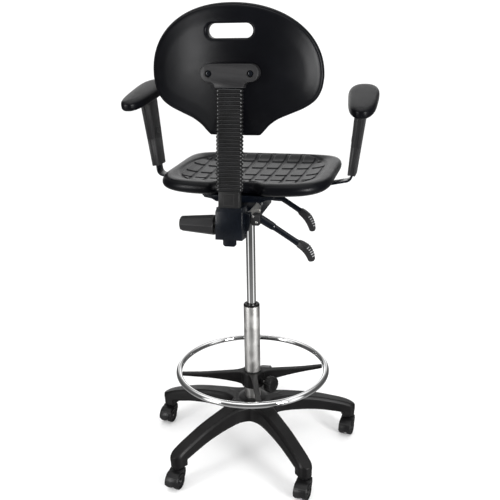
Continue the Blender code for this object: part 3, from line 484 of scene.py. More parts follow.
def boolean(obj, other, operation="DIFFERENCE"):
    modifier = obj.modifiers.new(other.name, "BOOLEAN")
    modifier.object, modifier.operation, modifier.solver = other, operation, "EXACT"


def cut(obj, bodies, at=None, smooth_deg=40.0):
    """Takes closed bodies away from a piece."""
    tool = skin(obj.name + "_tool", bodies, obj.data.materials[0], at=at)
    boolean(obj, tool)
    return settle(obj, tool, smooth_deg=smooth_deg)


def bevelled(obj, width, segments=3, angle=30.0):
    """Round the hard edges of a piece."""
    modifier = obj.modifiers.new("bevel", "BEVEL")
    modifier.width, modifier.segments = width, segments
    modifier.limit_method, modifier.angle_limit = "ANGLE", math.radians(angle)
    return settle(obj, smooth_deg=50.0)


def fused(obj, voxel, rounds):
    """Melt overlapping closed bodies into one moulded shape with small fillets."""
    remesh = obj.modifiers.new("remesh", "REMESH")
    remesh.mode, remesh.voxel_size = "VOXEL", voxel
    smooth = obj.modifiers.new("smooth", "SMOOTH")
    smooth.factor, smooth.iterations = 0.5, rounds
    return settle(obj, smooth_deg=60.0)


def seated(obj, body, *nodes, slot=None):
    """The piece rides on a body and stands for CAD nodes. The slot is not used."""
    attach(obj, body)
    if nodes:
        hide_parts(*nodes)
    return obj


def refined(node, width, material, body, segments=3):
    """A CAD node's shape with its facets cleaned and its hard edges rounded."""
    bm = bmesh.new()
    bm.from_mesh(frame["nodes"][node].data)
    bmesh.ops.remove_doubles(bm, verts=bm.verts, dist=2e-5)
    bmesh.ops.dissolve_limit(bm, angle_limit=math.radians(1.0), verts=bm.verts, edges=bm.edges)
    mesh = bpy.data.meshes.new(node + "_form")
    bm.to_mesh(mesh)
    bm.free()
    mesh.materials.clear()
    mesh.materials.append(material)
    return seated(bevelled(placed(node + "_form", mesh), width, segments), body, node)


def zinc_plated(*nodes):
    """Hidden CAD meshes that are kept and only take a finish."""
    for node in nodes:
        materials = frame["nodes"][node].data.materials
        materials.clear()
        materials.append(ZINC)


def turn(axis, angle):
    return Matrix.Rotation(angle, 4, axis)


def washer(name, inner, outer, low, high, edge, at, body, *nodes, sides=40):
    """A zinc-plated ring of rectangular section along the local Z."""
    section = eased([(inner, low), (outer, low), (outer, high), (inner, high)], edge)
    seated(skin(name, [turned(section, sides)], ZINC, at=at), body, *nodes)


def bolt(name, radius, height, socket, at, material=ZINC):
    """A button-head screw with a hexagon socket, its head standing up along the local Z."""
    rings = [circle(radius, 0.0, 40), circle(radius, 0.25 * height, 40)]
    for i in range(1, 7):
        a = math.pi / 2 * i / 7
        rings.append(circle(socket + (radius - socket) * math.cos(a),
                            height * (0.25 + 0.75 * math.sin(a)), 40))
    rings += carved([(z, 0.85 * socket, 6) for z in (height, 0.35 * height)], 40, flats)
    return skin(name, [(rings, False)], material, 35.0, at)


# Base and casters ----------------------------------------------------------------------------
CASTERS = range(1, 6)
PIVOTS = [Vector(JOINTS[f"caster_{k}_swivel"]["pos_m"]) for k in CASTERS]
ARM_END_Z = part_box("star_base")[0].z
HUB_TOP_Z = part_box("star_base")[1].z


def radial(angle, reach, section):
    """A section of (across, up) pairs stood across a ray from the column's axis."""
    along = Vector((math.cos(angle), math.sin(angle), 0))
    across = Vector((-math.sin(angle), math.cos(angle), 0))
    return [tuple(along * reach + across * v + Vector((0, 0, z))) for v, z in section]


def base_arm(angle):
    """One arm: flat raised top, chamfered shoulders, flared root and a rounded tip."""
    top = smooth_curve((0.02, 0.09, 0.15, 0.21, 0.265, 0.297, 0.320, 0.3405),
                       (0.1640, 0.1630, 0.1560, 0.1450, 0.1290, 0.1185, 0.1085, 0.0975))
    under = smooth_curve((0.02, 0.09, 0.15, 0.21, 0.265, 0.297, 0.3405),
                         (0.1070, 0.1105, 0.1080, 0.1010, 0.0880, 0.0795, 0.0745))
    reaches = np.concatenate([np.linspace(0.02, 0.318, 60),
                              0.318 + 0.0225 * np.sin(np.linspace(0.1, 1.45, 10))])
    rings = []
    for reach in reaches:
        tip = max(0.0, (reach - 0.318) / 0.0235)
        half = (0.0220 + 0.0035 * (0.30 - reach) / 0.25) * math.sqrt(1 - tip * tip)
        half += 0.030 * math.exp(-(reach - 0.045) / 0.022)
        low, high = float(under(reach)), float(top(reach))
        section = [(-half + 0.002, low), (half - 0.002, low), (half, low + 0.010),
                   (0.985 * half, high - 0.0085), (0.76 * half, high), (-0.76 * half, high),
                   (-0.985 * half, high - 0.0085), (-half, low + 0.010)]
        rings.append(radial(angle, reach, eased(section, 0.0016, 2)))
    return rings, False


def caster_boss(angle):
    """Rounded block under an arm's end that holds the caster's stem."""
    outline = []
    for i in range(15):
        a = -math.pi / 2 + math.pi * i / 14
        outline.append((0.3190 + 0.0205 * math.cos(a), 0.0212 * math.sin(a)))
    outline += [(0.2985, 0.0212), (0.2965, 0.0180), (0.2965, -0.0180), (0.2985, -0.0212)]
    middle, to_arm = 0.3165, turn("Z", angle)
    rings = []
    for inset, z in ((0.0015, ARM_END_Z + 0.0004), (0.0, ARM_END_Z + 0.002), (0.0, 0.088)):
        k = 1 - inset / 0.02
        rings.append([to_arm @ Vector((middle + (u - middle) * k, v * k, z)) for u, v in outline])
    return rings, False


def star_base():
    hub = [(0.0560, 0.1035), (0.0650, 0.1075), (0.0640, 0.1400), (0.0560, 0.1560),
           (0.0440, 0.1655), (0.0345, HUB_TOP_Z - 0.0004)]
    angles = [math.atan2(p.y, p.x) for p in PIVOTS]
    bodies = [turned(hub, 72, False)] + [base_arm(a) for a in angles] + [caster_boss(a) for a in angles]
    base = fused(skin("star_base_form", bodies, NYLON), 0.0016, 5)
    bore = TUBE_RADIUS + 0.0006
    seated(cut(base, [turned([(bore, 0.08), (bore, 0.19)], 72, False)]), "base", "star_base")
    collar = [(TUBE_RADIUS + 0.0004, HUB_TOP_Z - 0.004), (0.0335, HUB_TOP_Z - 0.004),
              (0.0330, HUB_TOP_Z - 0.0002), (TUBE_RADIUS + 0.0012, HUB_TOP_Z - 0.0002)]
    seated(skin("base_collar", [turned(eased(collar, 0.0008), 72)], NYLON), "base")


def mesh_of(obj):
    """Keeps a pattern piece's mesh and drops its object."""
    mesh = obj.data
    bpy.data.objects.remove(obj, do_unlink=True)
    return mesh


def caster_hood_mesh():
    """Fender with side rims, centre web and neck, in the caster's frame: +X trails."""
    wheel_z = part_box("caster_1_axle")[0].z + 0.003
    side = [(-0.0135, 0.0400), (-0.0060, 0.0240), (0.0090, 0.0190), (0.0320, 0.0190)]
    side += arc((CASTER_TRAIL, wheel_z), WHEEL_RADIUS + 0.0036, -10, 94, 24)
    side += [(0.0105, 0.0565), (-0.0090, 0.0565), (-0.0135, 0.0520)]
    side = eased(side, 0.0015, 2)
    half = WHEEL_OFFSET + WHEEL_WIDTH / 2 - 0.0010
    rings = []
    for y, inset in ((-half, 0.0016), (-half + 0.0006, 0.0005), (-half + 0.0018, 0.0),
                     (half - 0.0018, 0.0), (half - 0.0006, 0.0005), (half, 0.0016)):
        k = 1 - inset / 0.026
        rings.append([(0.014 + (x - 0.014) * k, y, 0.034 + (z - 0.034) * k) for x, z in side])
    hood = skin("hood_block", [(rings, False)], CASTER)
    pockets = []
    for s in (-1, 1):
        faces = [[(CASTER_TRAIL + x, s * y, wheel_z + z)
                  for x, z, _ in circle(WHEEL_RADIUS + 0.0011, 0, 72)] for y in (0.0042, 0.0300)]
        pockets.append((faces, False))
    cutter = skin("hood_pockets", pockets, CASTER)
    boolean(hood, cutter)
    stem = [(0.0128, 0.0500), (0.0128, 0.0588), (0.0122, ARM_END_Z - 0.0004),
            (0.0057, ARM_END_Z - 0.0003), (0.0056, ARM_END_Z + 0.0280)]
    post = skin("hood_stem", [turned(stem, 40, False)], CASTER)
    boolean(hood, post, "UNION")
    return mesh_of(bevelled(settle(hood, cutter, post), 0.0007, 2, 40.0))


def wheel_mesh():
    """Nylon wheel: rounded tread, dished disc with a raised rim and a hub cap."""
    w, r = WHEEL_WIDTH / 2, WHEEL_RADIUS * math.cos(math.pi / 16)
    profile = [(0.0032, -w), (r - 0.004, -w), (r - 0.0008, -w + 0.0012), (r, -w + 0.0045),
               (r, w - 0.0045), (r - 0.0007, w - 0.0016), (r - 0.0022, w - 0.0003),
               (r - 0.0040, w), (r - 0.0052, w - 0.0008), (r - 0.0060, w - 0.0024),
               (0.0125, w - 0.0030), (0.0100, w - 0.0028), (0.0088, w - 0.0012), (0.0072, w - 0.0006),
               (0.0032, w - 0.0004)]
    return mesh_of(skin("wheel", [turned(eased(profile, 0.0006, 2), 72)], CASTER, 35.0))


def copy_at(name, mesh, matrix, body, node):
    """A repeated piece: its own object and mesh, placed and carried by a body."""
    mesh = mesh.copy()
    mesh.transform(matrix)
    seated(placed(name, mesh), body, node)


def casters():
    hood, wheel = caster_hood_mesh(), wheel_mesh()
    for k, pivot in zip(CASTERS, PIVOTS):
        name = f"caster_{k}"
        roll = JOINTS[f"{name}_left_roll"]
        yaw = turn("Z", math.atan2(-roll["axis"][0], roll["axis"][1]))
        copy_at(name + "_hood_form", hood, Matrix.Translation((pivot.x, pivot.y, 0)) @ yaw,
                name + "_swivel", name + "_hood")
        for side, s in (("left", 1), ("right", -1)):
            spot = (Matrix.Translation(roll["pos_m"]) @ yaw
                    @ Matrix.Translation((0, s * WHEEL_OFFSET, 0)) @ turn("X", -s * math.pi / 2))
            copy_at(f"{name}_wheel_{side}_form", wheel, spot, f"{name}_{side}_wheel",
                    f"{name}_wheel_{side}")
        zinc_plated(name + "_axle")


# Column --------------------------------------------------------------------------------------
def column():
    low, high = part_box("column_tube")[0].z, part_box("column_tube")[1].z
    inner = TUBE_RADIUS - 0.0018
    tube = eased([(0.0070, low), (TUBE_RADIUS, low), (TUBE_RADIUS, high), (inner, high),
                  (inner, low + 0.003), (0.0070, low + 0.003)], 0.0007)
    seated(skin("column_tube_form", [turned(tube, 96)], SATIN), "base", "column_tube")
    bore, lip = CYLINDER_RADIUS + 0.0003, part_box("guide_bushing")[1].z
    guide = eased([(bore, high - 0.085), (inner - 0.0003, high - 0.085), (inner - 0.0003, high + 0.0003),
                   (TUBE_RADIUS, high + 0.0003), (TUBE_RADIUS - 0.0004, high + 0.0040),
                   (TUBE_RADIUS - 0.0030, lip), (bore + 0.0015, lip), (bore, lip - 0.0012)], 0.0005)
    seated(skin("guide_bushing_form", [turned(guide, 96)], NYLON), "base", "guide_bushing")
    low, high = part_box("gas_cylinder")[0].z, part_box("gas_cylinder")[1].z
    cylinder = eased([(0.0056, low), (CYLINDER_RADIUS, low), (CYLINDER_RADIUS, high - 0.040),
                      (CYLINDER_RADIUS - 0.0010, high), (0.0046, high), (0.0046, high - 0.020),
                      (0.0123, high - 0.022), (0.0123, low + 0.012), (0.0056, low + 0.012)], 0.0006)
    seated(skin("gas_cylinder_form", [turned(cylinder, 96)], CHROME), "seat", "gas_cylinder")
    zinc_plated("thrust_bearing", "piston_rod", "valve_pin")


# Foot ring -----------------------------------------------------------------------------------
RING_KNOB_PLACE = (Matrix.Translation((0, 0, RING_KNOB_Z))
                   @ turn("Z", math.radians(RING_KNOB_DEG) + math.pi / 2) @ turn("X", math.pi / 2))


def foot_ring():
    low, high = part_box("foot_ring")
    profile = [(RING_RADIUS + x, (low.z + high.z) / 2 + y) for x, y, _ in circle(RING_TUBE_RADIUS, 0, 32)]
    seated(skin("foot_ring_form", [turned(profile, 240)], CHROME, 80.0), "foot_ring", "foot_ring")


def ring_hub():
    """Sleeve on the column, four T-shaped spokes, a boss for the clamp screw and a liner."""
    low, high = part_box("foot_ring_hub")[0].z, 0.2565
    bodies = [turned([(0.0325, low), (0.0350, low + 0.0025), (0.0355, high - 0.006),
                      (0.0335, high - 0.0015), (0.0318, high)], 72, False)]
    reach_end = RING_RADIUS - RING_TUBE_RADIUS - 0.0004
    spoke_top = smooth_curve((0.030, 0.060, 0.140, reach_end), (0.2556, 0.2552, 0.2553, 0.2590))
    spoke_low = smooth_curve((0.030, 0.060, 0.140, reach_end), (0.2070, 0.2180, 0.2360, 0.2480))
    half_width = smooth_curve((0.030, 0.045, 0.070, 0.140, reach_end),
                              (0.0190, 0.0120, 0.0102, 0.0086, 0.0080))
    for i in range(4):
        angle = math.radians(FIRST_SPOKE_DEG + 90 * i)
        rings = []
        for reach in np.linspace(0.028, reach_end, 44):
            half, z0, z1 = float(half_width(reach)), float(spoke_low(reach)), float(spoke_top(reach))
            section = [(-0.34 * half, z0), (0.34 * half, z0), (0.40 * half, z1 - 0.0052),
                       (half, z1 - 0.0036), (half, z1), (-half, z1), (-half, z1 - 0.0036),
                       (-0.40 * half, z1 - 0.0052)]
            rings.append(radial(angle, reach, eased(section, 0.0008, 2)))
        bodies.append((rings, False))
    boss = [[tuple(RING_KNOB_PLACE @ Vector(p)) for p in circle(r, z, 40)]
            for r, z in ((0.0125, 0.028), (0.0118, 0.0425), (0.0105, 0.0438))]
    bodies.append((boss, False))
    hub = fused(skin("foot_ring_hub_form", bodies, NYLON), 0.0011, 3)
    bore = TUBE_RADIUS + 0.0007
    seated(cut(hub, [turned([(bore, 0.19), (bore, 0.28)], 72, False)]), "foot_ring", "foot_ring_hub")
    liner = eased([(TUBE_RADIUS + 0.0006, high - 0.004), (0.0290, high - 0.004),
                   (0.0285, high + 0.0014), (TUBE_RADIUS + 0.0012, high + 0.0014)], 0.0006)
    seated(skin("foot_ring_liner", [turned(liner, 72)], NYLON), "foot_ring")


def ring_clamp():
    """Screw, washer and fluted knob."""
    threads = [circle(0.0040 + 0.00025 * (i % 2), 0.0265 + 0.0011 * i, 28) for i in range(28)]
    seated(skin("ring_clamp_screw_form", [(threads, False)], ZINC, at=RING_KNOB_PLACE), "ring_clamp",
           "ring_clamp_screw")
    washer("ring_clamp_washer", 0.0045, 0.0095, 0.0540, 0.0556, 0.0003, RING_KNOB_PLACE,
           "ring_clamp")
    stations = ((0.0562, 0.0085, 0.0), (0.0572, 0.0140, 0.0), (0.0605, 0.0200, 0.3),
                (0.0625, 0.0236, 0.8), (0.0645, 0.0250, 1.0), (0.0720, 0.0257, 1.0),
                (0.0800, 0.0258, 1.0), (0.0832, 0.0250, 0.9), (0.0850, 0.0236, 0.5),
                (0.0858, 0.0214, 0.0), (0.0858, 0.0160, 0.0), (0.0846, 0.0146, 0.0),
                (0.0846, 0.0030, 0.0))
    rings = carved(stations, 144, lambda a, share: 1 - 0.085 * share * max(0.0, math.cos(12 * a)) ** 2)
    seated(skin("ring_clamp_knob_form", [(rings, False)], NYLON, 35.0, RING_KNOB_PLACE), "ring_clamp",
           "ring_clamp_knob")


# Seat ----------------------------------------------------------------------------------------
SEAT_PLACE = Matrix.Translation(SEAT_CENTRE) @ turn("X", SEAT_TILT)
TILE = (0.0455, 0.0560)            # pitch of the moulded tiles across and along the seat
TILE_GAP = 0.0085
TILE_HEIGHT = 0.0032
TILE_CORNER = 0.0065
TILE_FLANK = 0.0026
FRONT_POWER, REAR_POWER = 6.5, 4.1     # of the outline's superellipse
FRONT_FLARE = 0.012
RECESS_DEPTH, RECESS_HALF_WIDTH = 0.027, 0.064
HOUSING_SHARE, CARRIER_REAR_SHARE = 0.70, 0.60     # drawn width over the CAD's
TILE_ROWS = (-0.290, -0.205, -0.120, -0.040, 0.048, 0.108, 0.162, 0.215, 0.270)


def tiles(u, v, pitch, clip):
    """0 in the grooves, 1 on the tiles; clip is a distance that is negative outside the field."""
    half_u, half_v = (pitch[0] - TILE_GAP) / 2, (pitch[1] - TILE_GAP) / 2
    lu = np.abs(u / pitch[0] - np.floor(u / pitch[0]) - 0.5) * pitch[0]
    lv = np.abs(v / pitch[1] - np.floor(v / pitch[1]) - 0.5) * pitch[1]
    qu, qv = lu - (half_u - TILE_CORNER), lv - (half_v - TILE_CORNER)
    gap = np.hypot(np.maximum(qu, 0), np.maximum(qv, 0)) + np.minimum(np.maximum(qu, qv), 0)
    gap = np.maximum(gap - TILE_CORNER, -clip)
    return smooth_step(-gap, 0.0, TILE_FLANK)


def seat_point(direction_u, direction_v, inset):
    """A point of the seat's outline, moved inwards; the front corners are the squarer ones."""
    power = np.where(direction_v < 0, FRONT_POWER, REAR_POWER)
    k = (np.abs(direction_u) ** power + np.abs(direction_v) ** power) ** (-1 / power)
    front = np.clip(-k * direction_v, 0, 1)
    x = k * direction_u * (SEAT_HALF_WIDTH - inset) * (1 + FRONT_FLARE * front)
    y = k * direction_v * (SEAT_HALF_DEPTH - inset)
    return x, y, power


def recess(x, y_share):
    """Depth of the recess in the rear edge that clears the back bar."""
    return RECESS_DEPTH * np.exp(-((x / RECESS_HALF_WIDTH) ** 6)) * np.clip(y_share, 0, 1) ** 6


def seat_cushion():
    """Moulded seat: raised rim, dished and tiled middle, soft edge, flat underside."""
    nu, nv, edge_inset = 356, 312, 0.016
    u, v = np.meshgrid(np.linspace(-1, 1, nu), np.linspace(-1, 1, nv), indexing="ij")
    m = np.maximum(np.abs(u), np.abs(v))
    safe = np.where(m < 1e-9, 1.0, m)
    du, dv = np.where(m < 1e-9, 1.0, u / safe), np.where(m < 1e-9, 0.0, v / safe)
    ex, ey, power = seat_point(du, dv, edge_inset)
    a, b = SEAT_HALF_WIDTH - edge_inset, SEAT_HALF_DEPTH - edge_inset
    gx, gy = np.abs(ex / a) ** (power - 1) / a, np.abs(ey / b) ** (power - 1) / b
    inset = edge_inset + (1 - m) / np.hypot(gx, gy)
    x, y = m * ex, m * ey
    y = np.where(y > 0, y - recess(x, m), y)
    crown = smooth_curve((0.016, 0.022, 0.034, 0.070, 0.110, 0.20),
                         (0.0172, 0.0174, 0.0160, 0.0085, 0.0052, 0.0040))
    z = crown(inset)
    reach = np.where(y > 0, 0.172, 0.218)
    share = (np.abs(x / 0.208) ** 2.7 + np.abs(y / reach) ** 2.7) ** (1 / 2.7)
    clip = (1 - share) * 0.19
    rows = smooth_curve(TILE_ROWS, TILE[1] * np.arange(len(TILE_ROWS)))(y + 0.12 * x * x)
    field = tiles(x * (1 + 0.25 * y) + 0.5 * TILE[0], rows, TILE, clip)
    z = z - TILE_HEIGHT * (1 - field) * smooth_step(clip, -0.010, -0.002)
    verts = list(np.stack([x, y, z], axis=-1).reshape(-1, 3))
    faces = [(i * nv + j, (i + 1) * nv + j, (i + 1) * nv + j + 1, i * nv + j + 1)
             for i in range(nu - 1) for j in range(nv - 1)]
    rim = [i * nv for i in range(nu)] + [(nu - 1) * nv + j for j in range(1, nv)]
    rim += [i * nv + nv - 1 for i in range(nu - 2, -1, -1)] + [j for j in range(nv - 2, 0, -1)]
    side = rounded_path(((0.016, 0.0172), (0.009, 0.0158), (0.0040, 0.0118), (0.0010, 0.0062),
                         (0.0, 0.0005), (0.0008, -0.0050), (0.0040, -0.0105), (0.0100, -0.0150),
                         (0.0200, -0.0190), (0.0340, -0.0213)), 22)
    ru, rv = du.reshape(-1)[rim], dv.reshape(-1)[rim]
    last = rim
    for depth, level in side[1:]:
        px, py, _ = seat_point(ru, rv, depth)
        py = np.where(py > 0, py - recess(px, 1.0), py)
        ring = list(range(len(verts), len(verts) + len(rim)))
        verts.extend(np.column_stack([px, py, np.full(len(rim), level)]))
        n = len(rim)
        faces.extend((last[i], last[(i + 1) % n], ring[(i + 1) % n], ring[i]) for i in range(n))
        last = ring
    faces.append(tuple(last))
    verts = [SEAT_PLACE @ Vector(p) for p in verts]
    cushion = make("seat_cushion", verts, faces, FOAM, 60.0)
    seated(cushion, "seat", "seat_pan")


def narrowed(obj, stations, shares):
    """Draws a piece's sides in towards the middle, by a share that changes along Y."""
    for vertex in obj.data.vertices:
        vertex.co.x *= float(np.interp(vertex.co.y, stations, shares))


def mechanism():
    """Plate, folded channel, screws and the column's socket under the seat."""
    refined("seat_plate", 0.0008, PAINT, "seat")
    narrowed(refined("mechanism_housing", 0.0010, PAINT, "seat"), (0, 1), (HOUSING_SHARE,) * 2)
    refined("taper_socket", 0.0006, ZINC, "seat", 2)
    narrowed(refined("pivot_pin", 0.0006, ZINC, "seat", 2), (0, 1), (HOUSING_SHARE,) * 2)
    narrowed(refined("back_carrier", 0.0007, ZINC, "back_carrier", 2), (0.092, 0.1713),
             (HOUSING_SHARE, CARRIER_REAR_SHARE))
    under = SEAT_PLACE @ Matrix.Translation((0, 0, -0.0253)) @ turn("X", math.pi)
    for i, (x, y) in enumerate(((-0.088, 0.175), (0.088, 0.175), (-0.088, -0.075), (0.088, -0.075))):
        spot = under @ Matrix.Translation((x, -y, 0))
        seated(bolt(f"seat_screw_{i + 1}", 0.0075, 0.0040, 0.0034, spot), "seat")
    half = [(0.1000, -0.0254), (0.0980, -0.0300), (0.0760, -0.0340), (0.0640, -0.0410)]
    outline = half + [(-x, z) for x, z in reversed(half)]
    flange = slab(eased(outline, 0.0022), 0.150, 0.184, 0.0010, lambda u, v, w: (u, w, v))
    seated(skin("seat_plate_flange", [flange], PAINT, at=SEAT_PLACE), "seat")
    outline = [(0.0445, 0.0935), (-0.0445, 0.0935), (-0.0385, 0.1705), (0.0385, 0.1705)]
    cover = slab(eased(outline, 0.003), 0.0, 0.0013, 0.0003,
                 lambda u, v, w: (u, v, 0.8288 - 0.1136 * (v - 0.0935) + w))
    seated(skin("carrier_cover", [cover], PAINT), "back_carrier")
    pivot = Vector(JOINTS["back_tilt"]["pos_m"])
    for side, s in (("left", 1), ("right", -1)):
        spot = Matrix.Translation((s * 0.0466, pivot.y, pivot.z)) @ turn("Y", s * math.pi / 2)
        washer("pivot_clip_" + side, 0.0052, 0.0092, 0.0, 0.0011, 0.0003, spot, "back_carrier", sides=32)


def lever(name, points, radii, side, body, node):
    """A bent round bar whose radius changes along its length."""
    route = spaced(np.array([tuple(p) for p in filleted(points, 0.010)]), 70)
    radius = smooth_curve([r[0] for r in radii], [r[1] for r in radii])

    def section(t):
        r = float(radius(t))
        return [(r * math.cos(TAU * i / 28), r * math.sin(TAU * i / 28)) for i in range(28)]

    rings, _ = sweep([Vector(p) for p in route], side, section)
    seated(skin(name, [(rings, False)], PAINT, 45.0), body, node)


def lever_grip(name, start, end, body, node):
    """A paddle grip that bends down over a lever's end, ribbed on its outer side; its raised bars are
    coloured light grey as a painted glint.
    """
    start, end = Vector(start), Vector(end)
    bulge = Vector((-0.0062, 0, 0.0068))
    count = 110
    path = [start.lerp(end, i / count) + bulge * math.sin(math.pi * i / count)
            for i in range(count + 1)]

    def section(t):
        close = math.sqrt(max(1e-4, 1 - max(0.0, (t - 0.90) / 0.1003) ** 2))
        mouth = 0.82 + 0.18 * min(1.0, t / 0.06)
        width = (0.0082 + 0.0060 * math.sin(math.pi * min(t * 1.12, 1.0)) ** 0.7) * close * mouth
        thick = (0.0090 + 0.0012 * math.sin(math.pi * min(t * 1.1, 1.0))) * close * mouth
        ribs = 0.0016 * max(0.0, math.sin(TAU * 6 * (t - 0.36) / 0.48)) if 0.36 < t < 0.84 else 0.0
        outline = []
        for u, v in rounded_box(thick, width, 0.45 * min(thick, width), 6):
            middle = smooth_step(1 - abs(v) / width, 0.12, 0.34)
            outline.append((u + float(ribs * smooth_step(u / thick, 0.4, 0.9) * middle), v))
        return outline

    rings, _ = sweep(path, (0, 1, 0), section)
    seated(skin(name, [(rings, False)], PLASTIC, 60.0), body, node)
    # Raised bars on the grip, coloured light grey as a painted glint.
    glint_bars = []
    for k in range(5):
        i = round(count * (0.44 + 0.085 * k))
        along = (path[i + 1] - path[i - 1]).normalized()
        outward = along.cross(Vector((0, 1, 0)))
        outward *= -1 if outward.x > 0 else 1
        edge = section(i / count)
        corner = Vector((max(u for u, _ in edge), max(v for _, v in edge))) * 0.90
        facing = (outward * 0.7 + Vector((0, 0.7, 0))).normalized()
        turned_to = Matrix((along, facing.cross(along), facing)).transposed().to_4x4()
        turned_to.translation = path[i] + outward * corner.x + Vector((0, corner.y, 0))
        glint_bars.append(slab(rounded_box(0.0010, 0.0042, 0.0006, 3), -0.0012, 0.0010, 0.0003,
                          lambda u, v, w: tuple(turned_to @ Vector((u, v, w)))))
    seated(skin(name.replace("_form", "_ribs"), glint_bars, RIB_GLINT), body, slot="grey_black_plastic")


def levers():
    pivot_z = JOINTS["height_lever_lift"]["pos_m"][2]
    lever("height_lever_form",
          ((0.006, 0, pivot_z - 0.0037), (-0.040, 0, pivot_z), (-0.066, 0, 0.8190),
           (-0.098, 0, 0.8178), (-0.1530, 0, 0.7826)),
          ((0, 0.0052), (0.35, 0.0064), (0.50, 0.0080), (0.85, 0.0076), (1, 0.0082)), (0, 1, 0),
          "height_lever", "height_lever")
    lever_grip("height_lever_grip_form", (-0.1486, 0, 0.7852), (-0.1888, 0, 0.7240),
               "height_lever", "height_lever_grip")
    y = JOINTS["tilt_lever_lift"]["pos_m"][1]
    lever("tilt_lever_form",
          ((-0.0760, y, 0.8080), (-0.090, y, 0.7998), (-0.120, y, 0.7820), (-0.1800, y, 0.7440)),
          ((0, 0.0112), (0.12, 0.0110), (0.34, 0.0100), (0.36, 0.0084), (0.80, 0.0082),
           (1, 0.0090)), (0, 1, 0),
          "tilt_lever", "tilt_lever")
    lever_grip("tilt_lever_grip_form", (-0.1764, y, 0.7465), (-0.2165, y, 0.6965), "tilt_lever",
               "tilt_lever_grip")
    hub = [(-0.0780, 0.7960), (-0.0780, 0.8150), (-0.0735, 0.8210), (-0.0570, 0.8210),
           (-0.0525, 0.8165), (-0.0525, 0.7960), (-0.0570, 0.7915), (-0.0735, 0.7915)]
    half = 0.0148
    block = slab(eased(hub, 0.0020), -half, half, 0.0012, lambda u, v, w: (u, y + w, v))
    seated(skin("tilt_lever_hub_form", [block], PLASTIC), "tilt_lever", "tilt_lever_hub")
    mount = [(-0.0360, 0.8250), (-0.0500, 0.8220), (-0.0500, 0.7950), (-0.0450, 0.7760),
             (-0.0360, 0.7680)]
    block = slab(eased(mount, 0.0020), 0.1790, 0.2040, 0.0010, lambda u, v, w: (u, w, v))
    seated(skin("tilt_hub_mount", [block], PAINT), "back_carrier")
    for i, (x, z) in enumerate(((-0.0580, 0.8165), (-0.0680, 0.8010))):
        spot = Matrix.Translation((x, y + half, z)) @ turn("X", -math.pi / 2)
        seated(bolt(f"tilt_hub_screw_{i + 1}", 0.0034, 0.0018, 0.0015, spot), "tilt_lever")


# Back bar ------------------------------------------------------------------------------------
BAR_PLACE = Matrix.Translation(BAR_BASE) @ turn("X", BAR_LEAN)


def bracket():
    """Folded steel box with a bevelled lip, a toothed rack and the collar above it."""
    rings = []
    for half, rear, z, corner in ((0.0366, 0.0116, 0.0070, 0.0012), (0.0370, 0.0120, 0.0076, 0.0016),
                                  (0.0370, 0.0120, 0.0812, 0.0016), (0.0364, 0.0114, 0.0832, 0.0014),
                                  (0.0346, 0.0096, 0.0890, 0.0012), (0.0342, 0.0092, 0.0905, 0.0012),
                                  (0.0350, 0.0100, 0.0912, 0.0012), (0.0350, 0.0100, 0.0926, 0.0012),
                                  (0.0342, 0.0092, 0.0931, 0.0012)):
        middle, half_y = (rear - 0.050) / 2, (rear + 0.050) / 2
        rings.append([(x, y + middle, z) for x, y in rounded_box(half, half_y, corner, 3)])
    body = skin("bar_bracket_form", [(rings, False)], PAINT, 30.0, BAR_PLACE)
    slot = [lifted(rounded_box(0.0185, 0.0045, 0.001, 2), z) for z in (-0.02, 0.12)]
    seated(cut(body, [(slot, False)], BAR_PLACE), "back_carrier", "bar_bracket")
    teeth = []
    for i in range(11):
        z = 0.012 + 0.0062 * i
        tooth = eased([(-0.0045, z), (0.0045, z), (0.0045, z + 0.0036), (-0.0045, z + 0.0036)], 0.0008)
        teeth.append(slab(tooth, 0.0368, 0.0392, 0.0005, lambda u, v, w: (-w, u - 0.026, v)))
    seated(skin("bracket_rack", teeth, PAINT, at=BAR_PLACE), "back_carrier")
    spot = BAR_PLACE @ Matrix.Translation((-0.0370, -0.006, 0.030)) @ turn("Y", -math.pi / 2)
    seated(bolt("bracket_screw", 0.0055, 0.0026, 0.0024, spot, PAINT), "back_carrier")

    low, high = 0.0934, BELLOWS_Z[0] - 0.0003
    outer, inner = rounded_box(0.0290, 0.0112, 0.0030, 5), rounded_box(0.0186, 0.0046, 0.0012, 5)
    collar = [lifted(outer, low, 0.97), lifted(outer, low + 0.0008), lifted(outer, high - 0.0008),
              lifted(outer, high, 0.97), lifted(inner, high), lifted(inner, low)]
    seated(skin("bar_collar_form", [(collar, True)], CASTER, at=BAR_PLACE), "back_carrier",
           "bar_collar", slot="grey_black_plastic")
    outer, inner = rounded_box(0.0150, 0.0160, 0.0020, 4), rounded_box(0.0128, 0.0138, 0.0014, 4)
    levels = [(outer, 0.0106), (outer, 0.0119), (inner, 0.0119), (inner, 0.0106)]
    embossed = [[(x, y, z + (low + high) / 2) for x, z in outline] for outline, y in levels]
    seated(skin("collar_panel", [(embossed, True)], CASTER, 30.0, BAR_PLACE), "back_carrier",
           slot="grey_black_plastic")
    refined("back_bar", 0.0010, PAINT, "back")


def bellows():
    """Ribbed sleeve: flat rounded ribs with narrow folds between."""
    first, last = BELLOWS_Z
    pitch = (last - first) / BELLOWS_RIBS
    steps = 12
    mouth = rounded_box(0.0194, 0.0054, 0.002, 7)
    rings = [lifted(mouth, first)]
    for k in range(BELLOWS_RIBS * steps + 1):
        swell = abs(math.sin(math.pi * k / steps)) ** 0.45
        rib = rounded_box(0.0322 + 0.0036 * swell, 0.0088 + 0.0029 * swell, 0.0068 + 0.0020 * swell, 7)
        rings.append(lifted(rib, min(first + pitch * k / steps, last)))
    rings.append(lifted(mouth, last))
    sleeve = skin("bellows_form", [(rings, True)], RUBBER, 75.0, BAR_PLACE)
    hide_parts("bellows")
    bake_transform(sleeve)


